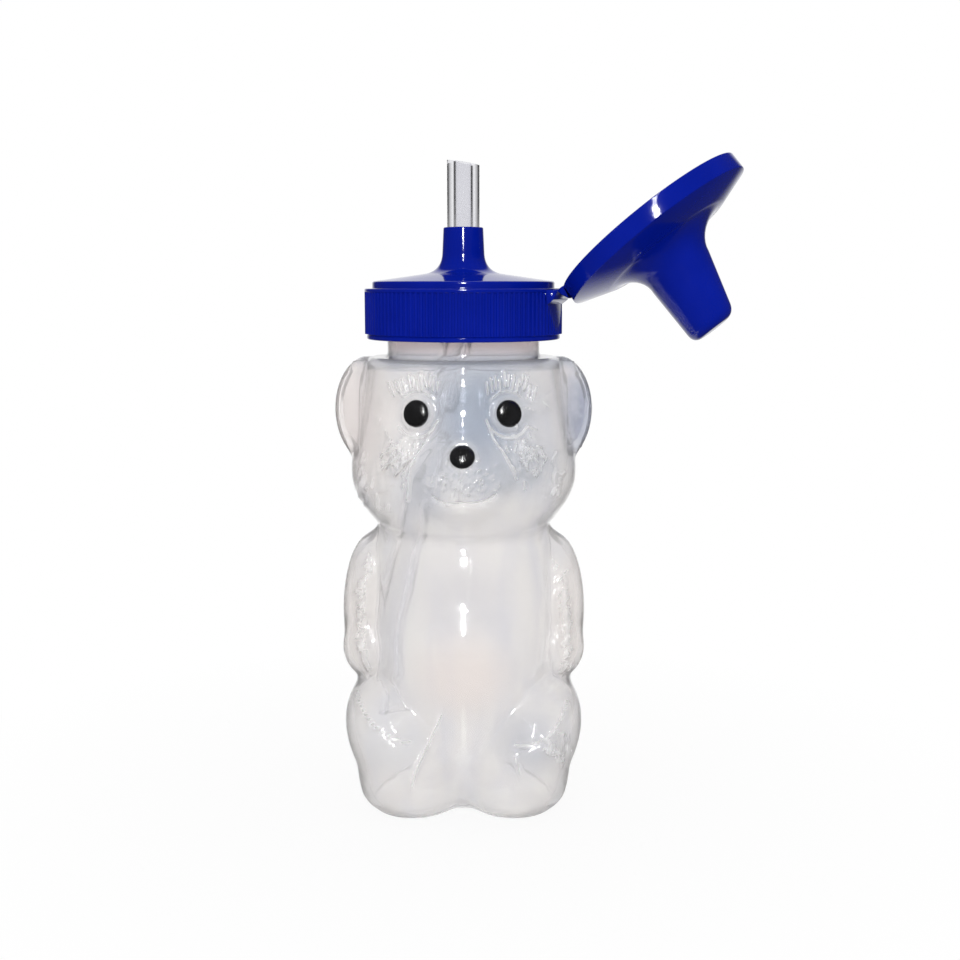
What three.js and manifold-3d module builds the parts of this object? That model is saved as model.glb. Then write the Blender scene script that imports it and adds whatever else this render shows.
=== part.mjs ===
// Bear-shaped squeeze cup with a screw lid, a drinking straw and a flip cap on a living hinge.
// Millimetres, +Z up. The origin is the middle of the flat base, and the bear faces -Y.
import * as THREE from "three";
import { mergeVertices } from "three/addons/utils/BufferGeometryUtils.js";
import Module from "manifold-3d";

const wasm = await Module();
wasm.setup();

// Bottle: blow-moulded wall, torso and head
const WALL = 1.1;
const BODY_HEIGHT = 64.8; // base to the crease under the chin
const HEAD_HEIGHT = 38.9; // crease to the flat top of the head
const BASE_RADIUS = 17.5;
const HIP_RADIUS = 22.6;
const HIP_HEIGHT = 11;
const BELLY_RADIUS = 23.6;
const BELLY_HEIGHT = 30;
const CHEST_RADIUS = 22.4;
const CHEST_BELOW_CREASE = 9;
const CREASE_RADIUS = 19.9;
const JOWL_RADIUS = 24.6;
const JOWL_RISE = 6.6; // above the crease
const CHEEK_RADIUS = 26.1;
const CHEEK_RISE = 13.2;
const TEMPLE_RADIUS = 24.5;
const TEMPLE_RISE = 26;
const CROWN_RADIUS = 22.7;
const CROWN_ROUND = 1.8; // edge round between the side and the flat top of the head
const DEPTH_RATIO = 0.94; // front-to-back over side-to-side

// Bottle: limbs and face, each an ellipsoid. Sizes are half-axes, left to right, front to back, up.
const EAR_SIZE = new THREE.Vector3(8.2, 4.6, 12.5);
const EAR_REACH = 29.9; // outermost point of an ear, from the axis
const EAR_BELOW_TOP = 12.2;
const ARM_SIZE = new THREE.Vector3(7.2, 9.5, 18.4);
const ARM_REACH = 28.3;
const ARM_BELOW_CREASE = 20.2;
const ARM_FORWARD = 2;
const PAW_SIZE = new THREE.Vector3(6.6, 8, 7.6);
const PAW_REACH = 28.1;
const PAW_BELOW_CREASE = 28;
const PAW_FORWARD = 6;
const LEG_SIZE = new THREE.Vector3(11.5, 17, 17);
const LEG_REACH = 27.4;
const LEG_HEIGHT = 15;
const LEG_FORWARD = 8.5;
const LEG_SPLAY = THREE.MathUtils.degToRad(30); // knees lean out from the feet
const FOOT_SIZE = new THREE.Vector3(12.5, 15.5, 14);
const FOOT_REACH = 24.4;
const FOOT_HEIGHT = 9;
const FOOT_FORWARD = 10.8;
const TUMMY_SIZE = new THREE.Vector3(17.5, 17, 23);
const TUMMY_FORWARD = 6.8;
const TUMMY_HEIGHT = 36;
const MUZZLE_SIZE = new THREE.Vector3(10.4, 7.6, 9.4);
const MUZZLE_FORWARD = 20.4;
const MUZZLE_BELOW_TOP = 26;

// Painted eyes and nose: shallow domes, seated on the face
const EYE_RADIUS = 3;
const EYE_DOME = 1.5;
const EYE_SPACING = 20;
const EYE_BELOW_TOP = 11.4;
const NOSE_RADIUS = 2.75;
const NOSE_DOME = 1.6;
const NOSE_BELOW_TOP = 20.3;

// Neck finish and its thread
const NECK_RADIUS = 17.5;
const NECK_HEIGHT = 14.2; // above the flat top of the head
const NECK_WALL = 1.3;
const THREAD_PITCH = 4.23;
const THREAD_TURNS = 1.25;
const THREAD_HEIGHT = 1.25;
const THREAD_ROOT_WIDTH = 2;
const THREAD_CREST_WIDTH = 1;
const THREAD_BELOW_RIM = 7.6; // lowest turn, below the neck's rim
const THREAD_ROOT_BITE = 0.4; // how far a thread's root runs into its wall
const THREAD_FADE_TURNS = 0.16; // over which a thread's end runs out

// Lid
const SLEEVE_WALL = 1.1; // inner sleeve, which carries the thread
const MOAT_WIDTH = 0.8; // gap between the sleeve and the outer skirt
const SKIRT_WALL = 1.4;
const RIB_DEPTH = 0.3;
const RIB_COUNT = 108;
const RIB_SEAT = 0.15; // how deep the ribs' valleys lie over the plain skirt
const SKIRT_HEIGHT = 11.5;
const FOOT_BAND_HEIGHT = 1; // plain band below the ribs
const FOOT_BAND_INSET = 0.5;
const SLEEVE_LIFT = 0.8; // the sleeve ends above the skirt's foot
const DECK_STEP_WIDTH = 1.75; // shoulder that the cap rests on
const DECK_STEP_HEIGHT = 1.6;
const DECK_EDGE = 0.5;
const DECK_RISE = 1.6; // slope of the deck up to the spout
const DECK_THICKNESS = 1.3;
const SPOUT_HEIGHT = 12.2; // above the deck's rim
const SPOUT_TOP_RADIUS = 4.55;
const SPOUT_DRAFT = 0.45; // extra radius at the spout's foot
const SPOUT_FLARE = 4.4; // fillet between the spout and the deck
const BORE_BELL = 2.8; // how far the bore opens out under the deck
const SPOUT_LIP = 0.35;

// Seal ring between the neck's rim and the lid's deck
const SEAL_THICKNESS = 1;
const SEAL_WIDTH = 3.4;

// Straw
const STRAW_RADIUS = 3.7;
const STRAW_WALL = 1.9;
const STRAW_EXPOSED = 15; // above the spout, and how far it slides down into the cup
const STRAW_PULL = 3.1; // how far it comes up as the cap swings right back
const STRAW_STRAIGHT = 4; // straight length kept below the lid
const STRAW_WALL_GAP = 1; // between the leaning straw and the cup's wall
const STRAW_FOOT_FORWARD = 5.5;
const STRAW_FOOT_GAP = 4; // above the cup's floor with the straw pushed down

// Flip cap
const CAP_WALL = 1.7;
const CAP_RIM_HEIGHT = 4.7;
const CAP_EDGE = 0.9; // round at the rim's outer edge
const CAP_DISC_RISE = 1.9; // slope of the disc up to the cone
const CAP_CONE_FOOT = 15.7; // radius where the disc turns into the cone
const CAP_CONE_FLARE = 6.6; // height of the turn
const CAP_CONE_BASE = 7.5; // radius just above the turn
const CAP_CONE_TIP = 5.4;
const CAP_CONE_WALL = 1.1;
const CAP_CONE_LEAN = THREE.MathUtils.degToRad(7.3); // toward the hinge
const CAP_HEIGHT = 27.4; // mouth to tip
const CAP_TIP_ROUND = 1.6;
const CAP_OPEN_ANGLE = THREE.MathUtils.degToRad(141); // as stored, from closed

// Living hinge, split at its fold line into a half on the lid and a half on the cap
const HINGE_AZIMUTH = THREE.MathUtils.degToRad(-17.5); // from +X
const HINGE_STANDOFF = 0.5; // fold line, outside the cap's rim
const HINGE_BELOW_SHOULDER = 0.2;
const LID_FLAT_DEPTH = 1.3; // flat on the skirt that the strap grows from, at its deepest
const CAP_FLAT_DEPTH = 1.1; // the like flat on the cap's rim
const STRAP_WIDTH = 14;
const STRAP_LENGTH = 3; // along each flat, from the fold line
const STRAP_EDGE = 1.2; // height of the edge that faces the fold line
const STRAP_SPLIT = 0.15; // half the gap between the two halves

// Clearances
const GAP = 0.3; // pieces that rest on each other
const THREAD_CLEARANCE = 0.3;
const BORE_CLEARANCE = 0.2; // straw in the spout
const CAP_CLEARANCE = 0.6; // cap round the deck's rim

// How the surfaces are divided and joined
const ROUND = 36; // facets round a turned piece
const LIMB_FACETS = 16; // round a limb, an ear or the muzzle
const PAW_FACETS = 12;
const TUMMY_FACETS = 18;
const DOME_FACETS = 18; // round an eye or the nose
const STRAW_FACETS = 12;
const STRAW_STEPS = 24; // along the straw
const SIDE_STEPS = 9; // up the curve of the torso's or the head's side
const FINE_STEPS = 60; // the same, to find a point on it
const FILLET_STEPS = 3;
const FORM_OVERLAP = 4; // how far neighbouring forms of the bottle run into each other
const MERGE = 1e-4; // corners this close are one

// Derived heights and radii
const HEAD_TOP = BODY_HEIGHT + HEAD_HEIGHT;
const NECK_TOP = HEAD_TOP + NECK_HEIGHT;
const SLEEVE_INNER = NECK_RADIUS + THREAD_HEIGHT + THREAD_CLEARANCE;
const SLEEVE_OUTER = SLEEVE_INNER + SLEEVE_WALL;
const SKIRT_INNER = SLEEVE_OUTER + MOAT_WIDTH;
const RIB_VALLEY = SKIRT_INNER + SKIRT_WALL;
const LID_RADIUS = RIB_VALLEY + RIB_DEPTH;
const DECK_RADIUS = LID_RADIUS - DECK_STEP_WIDTH;
const DECK_UNDERSIDE = NECK_TOP + SEAL_THICKNESS + 2 * GAP; // over the neck's rim
const SHOULDER = DECK_UNDERSIDE + DECK_THICKNESS - DECK_STEP_HEIGHT;
const LID_FOOT = SHOULDER - SKIRT_HEIGHT;
const DECK_TOP = SHOULDER + DECK_STEP_HEIGHT;
const SPOUT_TOP = DECK_TOP + SPOUT_HEIGHT;
const BORE_RADIUS = STRAW_RADIUS + BORE_CLEARANCE;
const CAP_MOUTH = SHOULDER + GAP;
const CAP_INNER = DECK_RADIUS + CAP_CLEARANCE;
const CAP_RADIUS = CAP_INNER + CAP_WALL;
const HINGE_RADIUS = CAP_RADIUS + HINGE_STANDOFF;
const HINGE_HEIGHT = SHOULDER - HINGE_BELOW_SHOULDER;

const point = (r, z) => new THREE.Vector2(r, z);

// Angles along a quarter turn, both ends included
const quarterTurn = (steps) => Array.from({ length: steps + 1 }, (_, i) => (Math.PI / 2) * (i / steps));

// Solids: closed geometry in, manifold out, and back

function solidFrom(geometry) {
  const loose = geometry.index ? geometry.toNonIndexed() : geometry;
  const bare = new THREE.BufferGeometry().setAttribute("position", loose.getAttribute("position"));
  const merged = mergeVertices(bare, MERGE);
  const corners = merged.index.array;
  const kept = [];
  for (let i = 0; i < corners.length; i += 3) {
    const [a, b, c] = corners.slice(i, i + 3);
    if (a !== b && b !== c && c !== a) kept.push(a, b, c);
  }
  const make = (triangles) =>
    new wasm.Manifold(
      new wasm.Mesh({
        numProp: 3,
        vertProperties: merged.attributes.position.array,
        triVerts: new Uint32Array(triangles),
      }),
    );
  const solid = make(kept);
  return solid.volume() > 0 ? solid : make(kept.reverse());
}

function geometryFrom(solid) {
  const mesh = solid.getMesh();
  return new THREE.BufferGeometry()
    .setAttribute("position", new THREE.BufferAttribute(new Float32Array(mesh.vertProperties), 3))
    .setIndex(new THREE.BufferAttribute(new Uint32Array(mesh.triVerts), 1));
}

const union = (solids) => solids.reduce((whole, next) => whole.add(next));

// A profile of (radius, height) points turned about Z
function turned(profile) {
  return new THREE.LatheGeometry(profile, ROUND).rotateX(Math.PI / 2);
}

function ellipsoid(size, centre, facets, splay = 0) {
  return new THREE.SphereGeometry(1, facets, Math.round(facets / 2))
    .rotateX(Math.PI / 2)
    .scale(size.x, size.y, size.z)
    .rotateY(splay)
    .translate(centre.x, centre.y, centre.z);
}

// A thread's bead along a right-hand helix, fading in and out over its ends
function threadBead(rootRadius, crestRadius, startHeight, startAngle) {
  const steps = Math.round(ROUND * THREAD_TURNS);
  const fade = Math.round(ROUND * THREAD_FADE_TURNS);
  const positions = [];
  const triangles = [];
  for (let i = 0; i <= steps; i++) {
    const share = i / steps;
    const angle = startAngle + 2 * Math.PI * THREAD_TURNS * share;
    const height = startHeight + THREAD_PITCH * THREAD_TURNS * share;
    const full = Math.min(1, (i + 1) / fade, (steps - i + 1) / fade);
    const crest = rootRadius + (crestRadius - rootRadius) * full;
    const section = [
      [rootRadius, -THREAD_ROOT_WIDTH / 2],
      [crest, -THREAD_CREST_WIDTH / 2],
      [crest, THREAD_CREST_WIDTH / 2],
      [rootRadius, THREAD_ROOT_WIDTH / 2],
    ];
    for (const [r, z] of section) positions.push(r * Math.cos(angle), r * Math.sin(angle), height + z);
    if (i === 0) continue;
    for (let k = 0; k < 4; k++) {
      const [a, b] = [4 * i - 4 + k, 4 * i - 4 + ((k + 1) % 4)];
      triangles.push(a, b, b + 4, a, b + 4, a + 4);
    }
  }
  const last = 4 * steps;
  triangles.push(0, 2, 1, 0, 3, 2, last, last + 1, last + 2, last, last + 2, last + 3);
  return new THREE.BufferGeometry()
    .setAttribute("position", new THREE.Float32BufferAttribute(positions, 3))
    .setIndex(triangles);
}

// Bottle forms. An inset of WALL gives the cavity, 0 the outside, and a negative one a grown copy.

const torsoCurve = new THREE.SplineCurve([
  point(BASE_RADIUS, 0),
  point(HIP_RADIUS, HIP_HEIGHT),
  point(BELLY_RADIUS, BELLY_HEIGHT),
  point(CHEST_RADIUS, BODY_HEIGHT - CHEST_BELOW_CREASE),
  point(CREASE_RADIUS, BODY_HEIGHT),
]);

const headCurve = new THREE.SplineCurve([
  point(CREASE_RADIUS, BODY_HEIGHT),
  point(JOWL_RADIUS, BODY_HEIGHT + JOWL_RISE),
  point(CHEEK_RADIUS, BODY_HEIGHT + CHEEK_RISE),
  point(TEMPLE_RADIUS, BODY_HEIGHT + TEMPLE_RISE),
  point(CROWN_RADIUS, HEAD_TOP - CROWN_ROUND),
]);

function torsoForm(inset) {
  const side = torsoCurve.getPoints(SIDE_STEPS).map((p) => point(p.x - inset, Math.max(p.y, inset)));
  const stub = BODY_HEIGHT + FORM_OVERLAP;
  const stubRadius = CREASE_RADIUS - FORM_OVERLAP - inset;
  return turned([point(0, inset), ...side, point(stubRadius, stub), point(0, stub)]);
}

function headForm(inset) {
  const side = headCurve.getPoints(SIDE_STEPS).map((p) => point(p.x - inset, p.y));
  const stub = BODY_HEIGHT - FORM_OVERLAP;
  const top = HEAD_TOP - inset;
  const crown = quarterTurn(FILLET_STEPS).map((turn) => {
    const radius = CROWN_RADIUS - inset - CROWN_ROUND * (1 - Math.cos(turn));
    return point(radius, top - CROWN_ROUND * (1 - Math.sin(turn)));
  });
  const stubRadius = CREASE_RADIUS - FORM_OVERLAP - inset;
  return turned([point(0, stub), point(stubRadius, stub), ...side, ...crown, point(0, top)]);
}

// Half-axes, centre, facets and splay of the limbs on one side: -1 or 1 along X
function limbForms(side) {
  const at = (reach, halfWidth, y, z) => new THREE.Vector3(side * (reach - halfWidth), y, z);
  const legHalfWidth = Math.hypot(LEG_SIZE.x * Math.cos(LEG_SPLAY), LEG_SIZE.z * Math.sin(LEG_SPLAY));
  return [
    [EAR_SIZE, at(EAR_REACH, EAR_SIZE.x, 0, HEAD_TOP - EAR_BELOW_TOP), LIMB_FACETS],
    [ARM_SIZE, at(ARM_REACH, ARM_SIZE.x, -ARM_FORWARD, BODY_HEIGHT - ARM_BELOW_CREASE), LIMB_FACETS],
    [PAW_SIZE, at(PAW_REACH, PAW_SIZE.x, -PAW_FORWARD, BODY_HEIGHT - PAW_BELOW_CREASE), PAW_FACETS],
    [LEG_SIZE, at(LEG_REACH, legHalfWidth, -LEG_FORWARD, LEG_HEIGHT), LIMB_FACETS, side * LEG_SPLAY],
    [FOOT_SIZE, at(FOOT_REACH, FOOT_SIZE.x, -FOOT_FORWARD, FOOT_HEIGHT), LIMB_FACETS],
  ];
}

const muzzleCentre = new THREE.Vector3(0, -MUZZLE_FORWARD, HEAD_TOP - MUZZLE_BELOW_TOP);

function bearForm(inset) {
  const forms = [
    ...limbForms(-1),
    ...limbForms(1),
    [TUMMY_SIZE, new THREE.Vector3(0, -TUMMY_FORWARD, TUMMY_HEIGHT), TUMMY_FACETS],
    [MUZZLE_SIZE, muzzleCentre, LIMB_FACETS],
  ];
  const trunk = [torsoForm(inset), headForm(inset)].map((g) => solidFrom(g.scale(1, DEPTH_RATIO, 1)));
  const limbs = forms.map(([size, centre, facets, splay]) =>
    solidFrom(ellipsoid(size.clone().subScalar(inset), centre, facets, splay)),
  );
  const block = new THREE.BoxGeometry(2 * HEAD_TOP, 2 * HEAD_TOP, 2 * HEAD_TOP);
  const aboveFloor = solidFrom(block.translate(0, 0, HEAD_TOP + inset));
  return union([...trunk, ...limbs]).intersect(aboveFloor);
}

function bearBottle() {
  const neckFoot = HEAD_TOP - FORM_OVERLAP;
  const boreRadius = NECK_RADIUS - NECK_WALL;
  const neck = turned([
    point(0, neckFoot),
    point(NECK_RADIUS, neckFoot),
    point(NECK_RADIUS, NECK_TOP),
    point(0, NECK_TOP),
  ]);
  const bore = turned([
    point(0, neckFoot - FORM_OVERLAP),
    point(boreRadius, neckFoot - FORM_OVERLAP),
    point(boreRadius, NECK_TOP + FORM_OVERLAP),
    point(0, NECK_TOP + FORM_OVERLAP),
  ]);
  const root = NECK_RADIUS - THREAD_ROOT_BITE;
  const thread = threadBead(root, NECK_RADIUS + THREAD_HEIGHT, NECK_TOP - THREAD_BELOW_RIM, 0);
  return union([bearForm(0), solidFrom(neck), solidFrom(thread)])
    .subtract(bearForm(WALL))
    .subtract(solidFrom(bore));
}

// Radius of the head and its slope at a height
function headAt(height) {
  const side = headCurve.getPoints(FINE_STEPS);
  const above = side.findIndex((p) => p.y >= height);
  const [low, high] = [side[above - 1], side[above]];
  const slope = (high.x - low.x) / (high.y - low.y);
  return { radius: low.x + slope * (height - low.y), slope };
}

// A shallow dome whose middle lies on the face at a point, facing along the outward normal there
function paintedDome(radius, dome, place, normal) {
  const turn = new THREE.Quaternion().setFromUnitVectors(new THREE.Vector3(0, 0, 1), normal);
  const shape = new THREE.SphereGeometry(1, DOME_FACETS, Math.round(DOME_FACETS / 2))
    .rotateX(Math.PI / 2)
    .scale(radius, radius, dome)
    .applyQuaternion(turn)
    .translate(place.x, place.y, place.z);
  return solidFrom(shape).subtract(grownBear);
}

const grownBear = bearForm(-GAP);

function eye(side) {
  const height = HEAD_TOP - EYE_BELOW_TOP;
  const { radius, slope } = headAt(height);
  const x = (side * EYE_SPACING) / 2;
  const y = -DEPTH_RATIO * Math.sqrt(radius * radius - x * x);
  const normal = new THREE.Vector3(x, y / DEPTH_RATIO ** 2, -radius * slope).normalize();
  return paintedDome(EYE_RADIUS, EYE_DOME, new THREE.Vector3(x, y, height), normal);
}

function nose() {
  const rise = HEAD_TOP - NOSE_BELOW_TOP - muzzleCentre.z;
  const reach = Math.sqrt(1 - (rise / MUZZLE_SIZE.z) ** 2);
  const place = muzzleCentre.clone().add(new THREE.Vector3(0, -MUZZLE_SIZE.y * reach, rise));
  const normal = new THREE.Vector3(0, -reach / MUZZLE_SIZE.y, rise / MUZZLE_SIZE.z ** 2).normalize();
  return paintedDome(NOSE_RADIUS, NOSE_DOME, place, normal);
}

// Lid: deck, spout, outer skirt and threaded sleeve as one moulding, with ribs round the skirt
function lid() {
  const spoutFoot = SPOUT_TOP_RADIUS + SPOUT_DRAFT;
  const deckSlopeTop = DECK_TOP + DECK_RISE;
  const footBand = LID_RADIUS - FOOT_BAND_INSET;
  const plainSkirt = RIB_VALLEY - RIB_SEAT;
  const flare = quarterTurn(FILLET_STEPS).map((turn) =>
    point(spoutFoot + SPOUT_FLARE * (1 - Math.sin(turn)), deckSlopeTop + SPOUT_FLARE * (1 - Math.cos(turn))),
  );
  const bell = deckSlopeTop - DECK_THICKNESS; // underside of the deck where the bore opens out
  const profile = [
    point(BORE_RADIUS, SPOUT_TOP),
    point(BORE_RADIUS, bell + BORE_BELL),
    point(BORE_RADIUS + BORE_BELL, bell),
    point(SLEEVE_INNER - SEAL_WIDTH, DECK_UNDERSIDE),
    point(SLEEVE_INNER, DECK_UNDERSIDE),
    point(SLEEVE_INNER, LID_FOOT + SLEEVE_LIFT),
    point(SLEEVE_OUTER, LID_FOOT + SLEEVE_LIFT),
    point(SLEEVE_OUTER, SHOULDER - DECK_THICKNESS),
    point(SKIRT_INNER, SHOULDER - DECK_THICKNESS),
    point(SKIRT_INNER, LID_FOOT),
    point(footBand, LID_FOOT),
    point(footBand, LID_FOOT + FOOT_BAND_HEIGHT),
    point(plainSkirt, LID_FOOT + FOOT_BAND_HEIGHT),
    point(plainSkirt, SHOULDER),
    point(DECK_RADIUS, SHOULDER),
    point(DECK_RADIUS, DECK_TOP - DECK_EDGE),
    point(DECK_RADIUS - DECK_EDGE, DECK_TOP),
    ...flare,
    point(SPOUT_TOP_RADIUS, SPOUT_TOP - SPOUT_LIP),
    point(SPOUT_TOP_RADIUS - SPOUT_LIP, SPOUT_TOP),
    point(BORE_RADIUS, SPOUT_TOP),
  ];
  const start = NECK_TOP - THREAD_BELOW_RIM;
  const root = SLEEVE_INNER + THREAD_ROOT_BITE;
  const crest = NECK_RADIUS + THREAD_CLEARANCE;
  // Half a turn and half a pitch on from the neck's thread, so it lies in that thread's groove
  const thread = threadBead(root, crest, start, Math.PI);
  const flat = hingeFlat(LID_RADIUS, LID_FLAT_DEPTH, SHOULDER, LID_FOOT + FOOT_BAND_HEIGHT);
  return union([solidFrom(turned(profile)), solidFrom(ribBand()), solidFrom(thread)])
    .subtract(solidFrom(flat.rotateZ(HINGE_AZIMUTH)));
}

function ribBand() {
  const outline = new THREE.Shape();
  for (let i = 0; i < 2 * RIB_COUNT; i++) {
    const angle = (Math.PI * i) / RIB_COUNT;
    const radius = i % 2 ? RIB_VALLEY : LID_RADIUS;
    outline[i ? "lineTo" : "moveTo"](radius * Math.cos(angle), radius * Math.sin(angle));
  }
  const hole = new THREE.Path().absarc(0, 0, SKIRT_INNER + SKIRT_WALL / 2, 0, 2 * Math.PI, true);
  outline.holes.push(hole);
  const depth = SHOULDER - LID_FOOT - FOOT_BAND_HEIGHT;
  const band = new THREE.ExtrudeGeometry(outline, { depth, bevelEnabled: false, curveSegments: ROUND / 2 });
  return band.translate(0, 0, LID_FOOT + FOOT_BAND_HEIGHT);
}

function sealRing() {
  const outer = SLEEVE_INNER - GAP;
  const inner = SLEEVE_INNER - SEAL_WIDTH - GAP;
  const foot = NECK_TOP + GAP;
  const section = [
    point(inner, foot),
    point(outer, foot),
    point(outer, foot + SEAL_THICKNESS),
    point(inner, foot + SEAL_THICKNESS),
    point(inner, foot),
  ];
  return solidFrom(turned(section));
}

// Straw: straight through the spout, then leaning over to the cup's wall on the bear's right
function straw() {
  const foot = WALL + STRAW_FOOT_GAP + STRAW_EXPOSED;
  const rise = THREAD_PITCH * THREAD_TURNS + STRAW_PULL; // with the lid screwed off
  const crease = BODY_HEIGHT - rise; // what passes the crease at most
  const besideWall = (radius) => -(radius - WALL - STRAW_RADIUS - STRAW_WALL_GAP);
  const at = (x, forward, z) => new THREE.Vector3(x, -forward, z);
  const route = new THREE.CatmullRomCurve3([
    at(0, 0, SPOUT_TOP + STRAW_EXPOSED),
    at(0, 0, SPOUT_TOP),
    at(0, 0, DECK_UNDERSIDE),
    at(0, 0, DECK_UNDERSIDE - STRAW_STRAIGHT),
    at(besideWall(CREASE_RADIUS), 0, crease),
    at(besideWall(BELLY_RADIUS), STRAW_FOOT_FORWARD / 2, (crease + foot) / 2),
    at(besideWall(HIP_RADIUS), STRAW_FOOT_FORWARD, foot),
  ]);
  const ring = new THREE.Shape().absarc(0, 0, STRAW_RADIUS, 0, 2 * Math.PI);
  ring.holes.push(new THREE.Path().absarc(0, 0, STRAW_RADIUS - STRAW_WALL, 0, 2 * Math.PI, true));
  const sweep = { steps: STRAW_STEPS, curveSegments: STRAW_FACETS / 2, extrudePath: route };
  return solidFrom(new THREE.ExtrudeGeometry(ring, sweep));
}

// Flip cap in the lid's frame, as it sits when closed
function flipCap() {
  const discEdge = CAP_MOUTH + CAP_RIM_HEIGHT;
  const discTop = discEdge + CAP_DISC_RISE;
  const tip = CAP_MOUTH + CAP_HEIGHT;
  const turnInto = (turn, inset) =>
    point(
      CAP_CONE_FOOT - (CAP_CONE_FOOT - CAP_CONE_BASE) * Math.sin(turn) - inset,
      discTop + CAP_CONE_FLARE * (1 - Math.cos(turn)) - inset,
    );
  const turns = quarterTurn(FILLET_STEPS);
  const outside = [
    point(CAP_RADIUS, CAP_MOUTH),
    point(CAP_RADIUS, discEdge - CAP_EDGE),
    point(CAP_RADIUS - CAP_EDGE, discEdge),
    ...turns.map((turn) => turnInto(turn, 0)),
    point(CAP_CONE_TIP, tip - CAP_TIP_ROUND),
    point(CAP_CONE_TIP - CAP_TIP_ROUND, tip),
    point(0, tip),
  ];
  const inside = [
    point(0, tip - CAP_CONE_WALL),
    point(CAP_CONE_TIP - CAP_TIP_ROUND, tip - CAP_CONE_WALL),
    point(CAP_CONE_TIP - CAP_CONE_WALL, tip - CAP_TIP_ROUND - CAP_CONE_WALL),
    ...turns.toReversed().map((turn) => turnInto(turn, CAP_CONE_WALL)),
    point(CAP_INNER, discEdge - CAP_WALL),
    point(CAP_INNER, CAP_MOUTH),
    point(CAP_RADIUS, CAP_MOUTH),
  ];
  const flat = hingeFlat(CAP_RADIUS, CAP_FLAT_DEPTH, CAP_MOUTH, discEdge);
  const leaning = leanAbove(turned([...outside, ...inside]), discTop, Math.tan(CAP_CONE_LEAN));
  return solidFrom(leaning).subtract(solidFrom(flat));
}

// Shears what lies above a height toward +X
function leanAbove(geometry, height, slope) {
  const places = geometry.getAttribute("position");
  for (let i = 0; i < places.count; i++) {
    places.setX(i, places.getX(i) + slope * Math.max(0, places.getZ(i) - height));
  }
  return geometry;
}

// A section in the hinge's radial plane, drawn as (radius, height), run along the fold line
function alongFold(section, width) {
  return new THREE.ExtrudeGeometry(new THREE.Shape(section), { depth: width, bevelEnabled: false })
    .rotateX(Math.PI / 2)
    .translate(0, width / 2, 0);
}

// Cutter for a flat that starts full depth at one height and runs out to nothing at the other
function hingeFlat(radius, depth, deepHeight, shallowHeight) {
  const outside = radius + HINGE_STANDOFF;
  const beyond = deepHeight + Math.sign(deepHeight - shallowHeight) * DECK_STEP_HEIGHT;
  const section = [
    point(radius - depth, beyond),
    point(radius - depth, deepHeight),
    point(radius, shallowHeight),
    point(outside, shallowHeight),
    point(outside, beyond),
  ];
  return alongFold(section, 2 * radius);
}

// Half of the hinge strap, from its flat to the fold line. The way is -1 down the lid, 1 up the cap.
function strapHalf(way, radius, depth, deepHeight, shallowHeight) {
  const seat = (height) => {
    const share = (height - shallowHeight) / (deepHeight - shallowHeight);
    return point(radius - depth * share + GAP, height);
  };
  const fold = HINGE_RADIUS - STRAP_SPLIT;
  const near = HINGE_HEIGHT + way * STRAP_SPLIT;
  const section = [
    seat(near),
    seat(near + way * STRAP_LENGTH),
    point(fold, near + way * STRAP_EDGE),
    point(fold, near),
  ];
  return solidFrom(alongFold(section, STRAP_WIDTH));
}

// Assembly

const plastic = (color, roughness) => new THREE.MeshStandardMaterial({ color, roughness, metalness: 0 });
const milky = plastic(0xe4e4e6, 0.3);
const black = plastic(0x0c0c0d, 0.15);
const blue = plastic(0x0a1a96, 0.25);
const clear = plastic(0xd6d6da, 0.1);
const white = plastic(0xefefec, 0.6);

function named(name, solid, material) {
  const mesh = new THREE.Mesh(geometryFrom(solid), material);
  mesh.name = name;
  return mesh;
}

const cup = new THREE.Group();
cup.add(
  named("bear_bottle", bearBottle(), milky),
  named("eye_right", eye(-1), black),
  named("eye_left", eye(1), black),
  named("nose", nose(), black),
  named("lid", lid(), blue),
  named("lid_seal", sealRing(), white),
  named("straw", straw(), clear),
);

// The hinge's frame: +X out through the fold line, +Y along it
const hinge = new THREE.Group();
hinge.rotation.z = HINGE_AZIMUTH;
const lidStrap = strapHalf(-1, LID_RADIUS, LID_FLAT_DEPTH, SHOULDER, LID_FOOT + FOOT_BAND_HEIGHT);
hinge.add(named("hinge_strap_lid_half", lidStrap, blue));

const swing = new THREE.Group();
swing.position.set(HINGE_RADIUS, 0, HINGE_HEIGHT);
swing.rotation.y = CAP_OPEN_ANGLE;
const closedCap = new THREE.Group();
closedCap.position.set(-HINGE_RADIUS, 0, -HINGE_HEIGHT);
const capStrap = strapHalf(1, CAP_RADIUS, CAP_FLAT_DEPTH, CAP_MOUTH, CAP_MOUTH + CAP_RIM_HEIGHT);
closedCap.add(named("flip_cap", flipCap(), blue), named("hinge_strap_cap_half", capStrap, blue));
swing.add(closedCap);
hinge.add(swing);
cup.add(hinge);

export default cup;
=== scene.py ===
"""Looks of a bear-shaped straw cup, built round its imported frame.

Lengths are millimetres, as in the part's source, until a mesh is made. The bear faces -Y.
"""

import math

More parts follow.
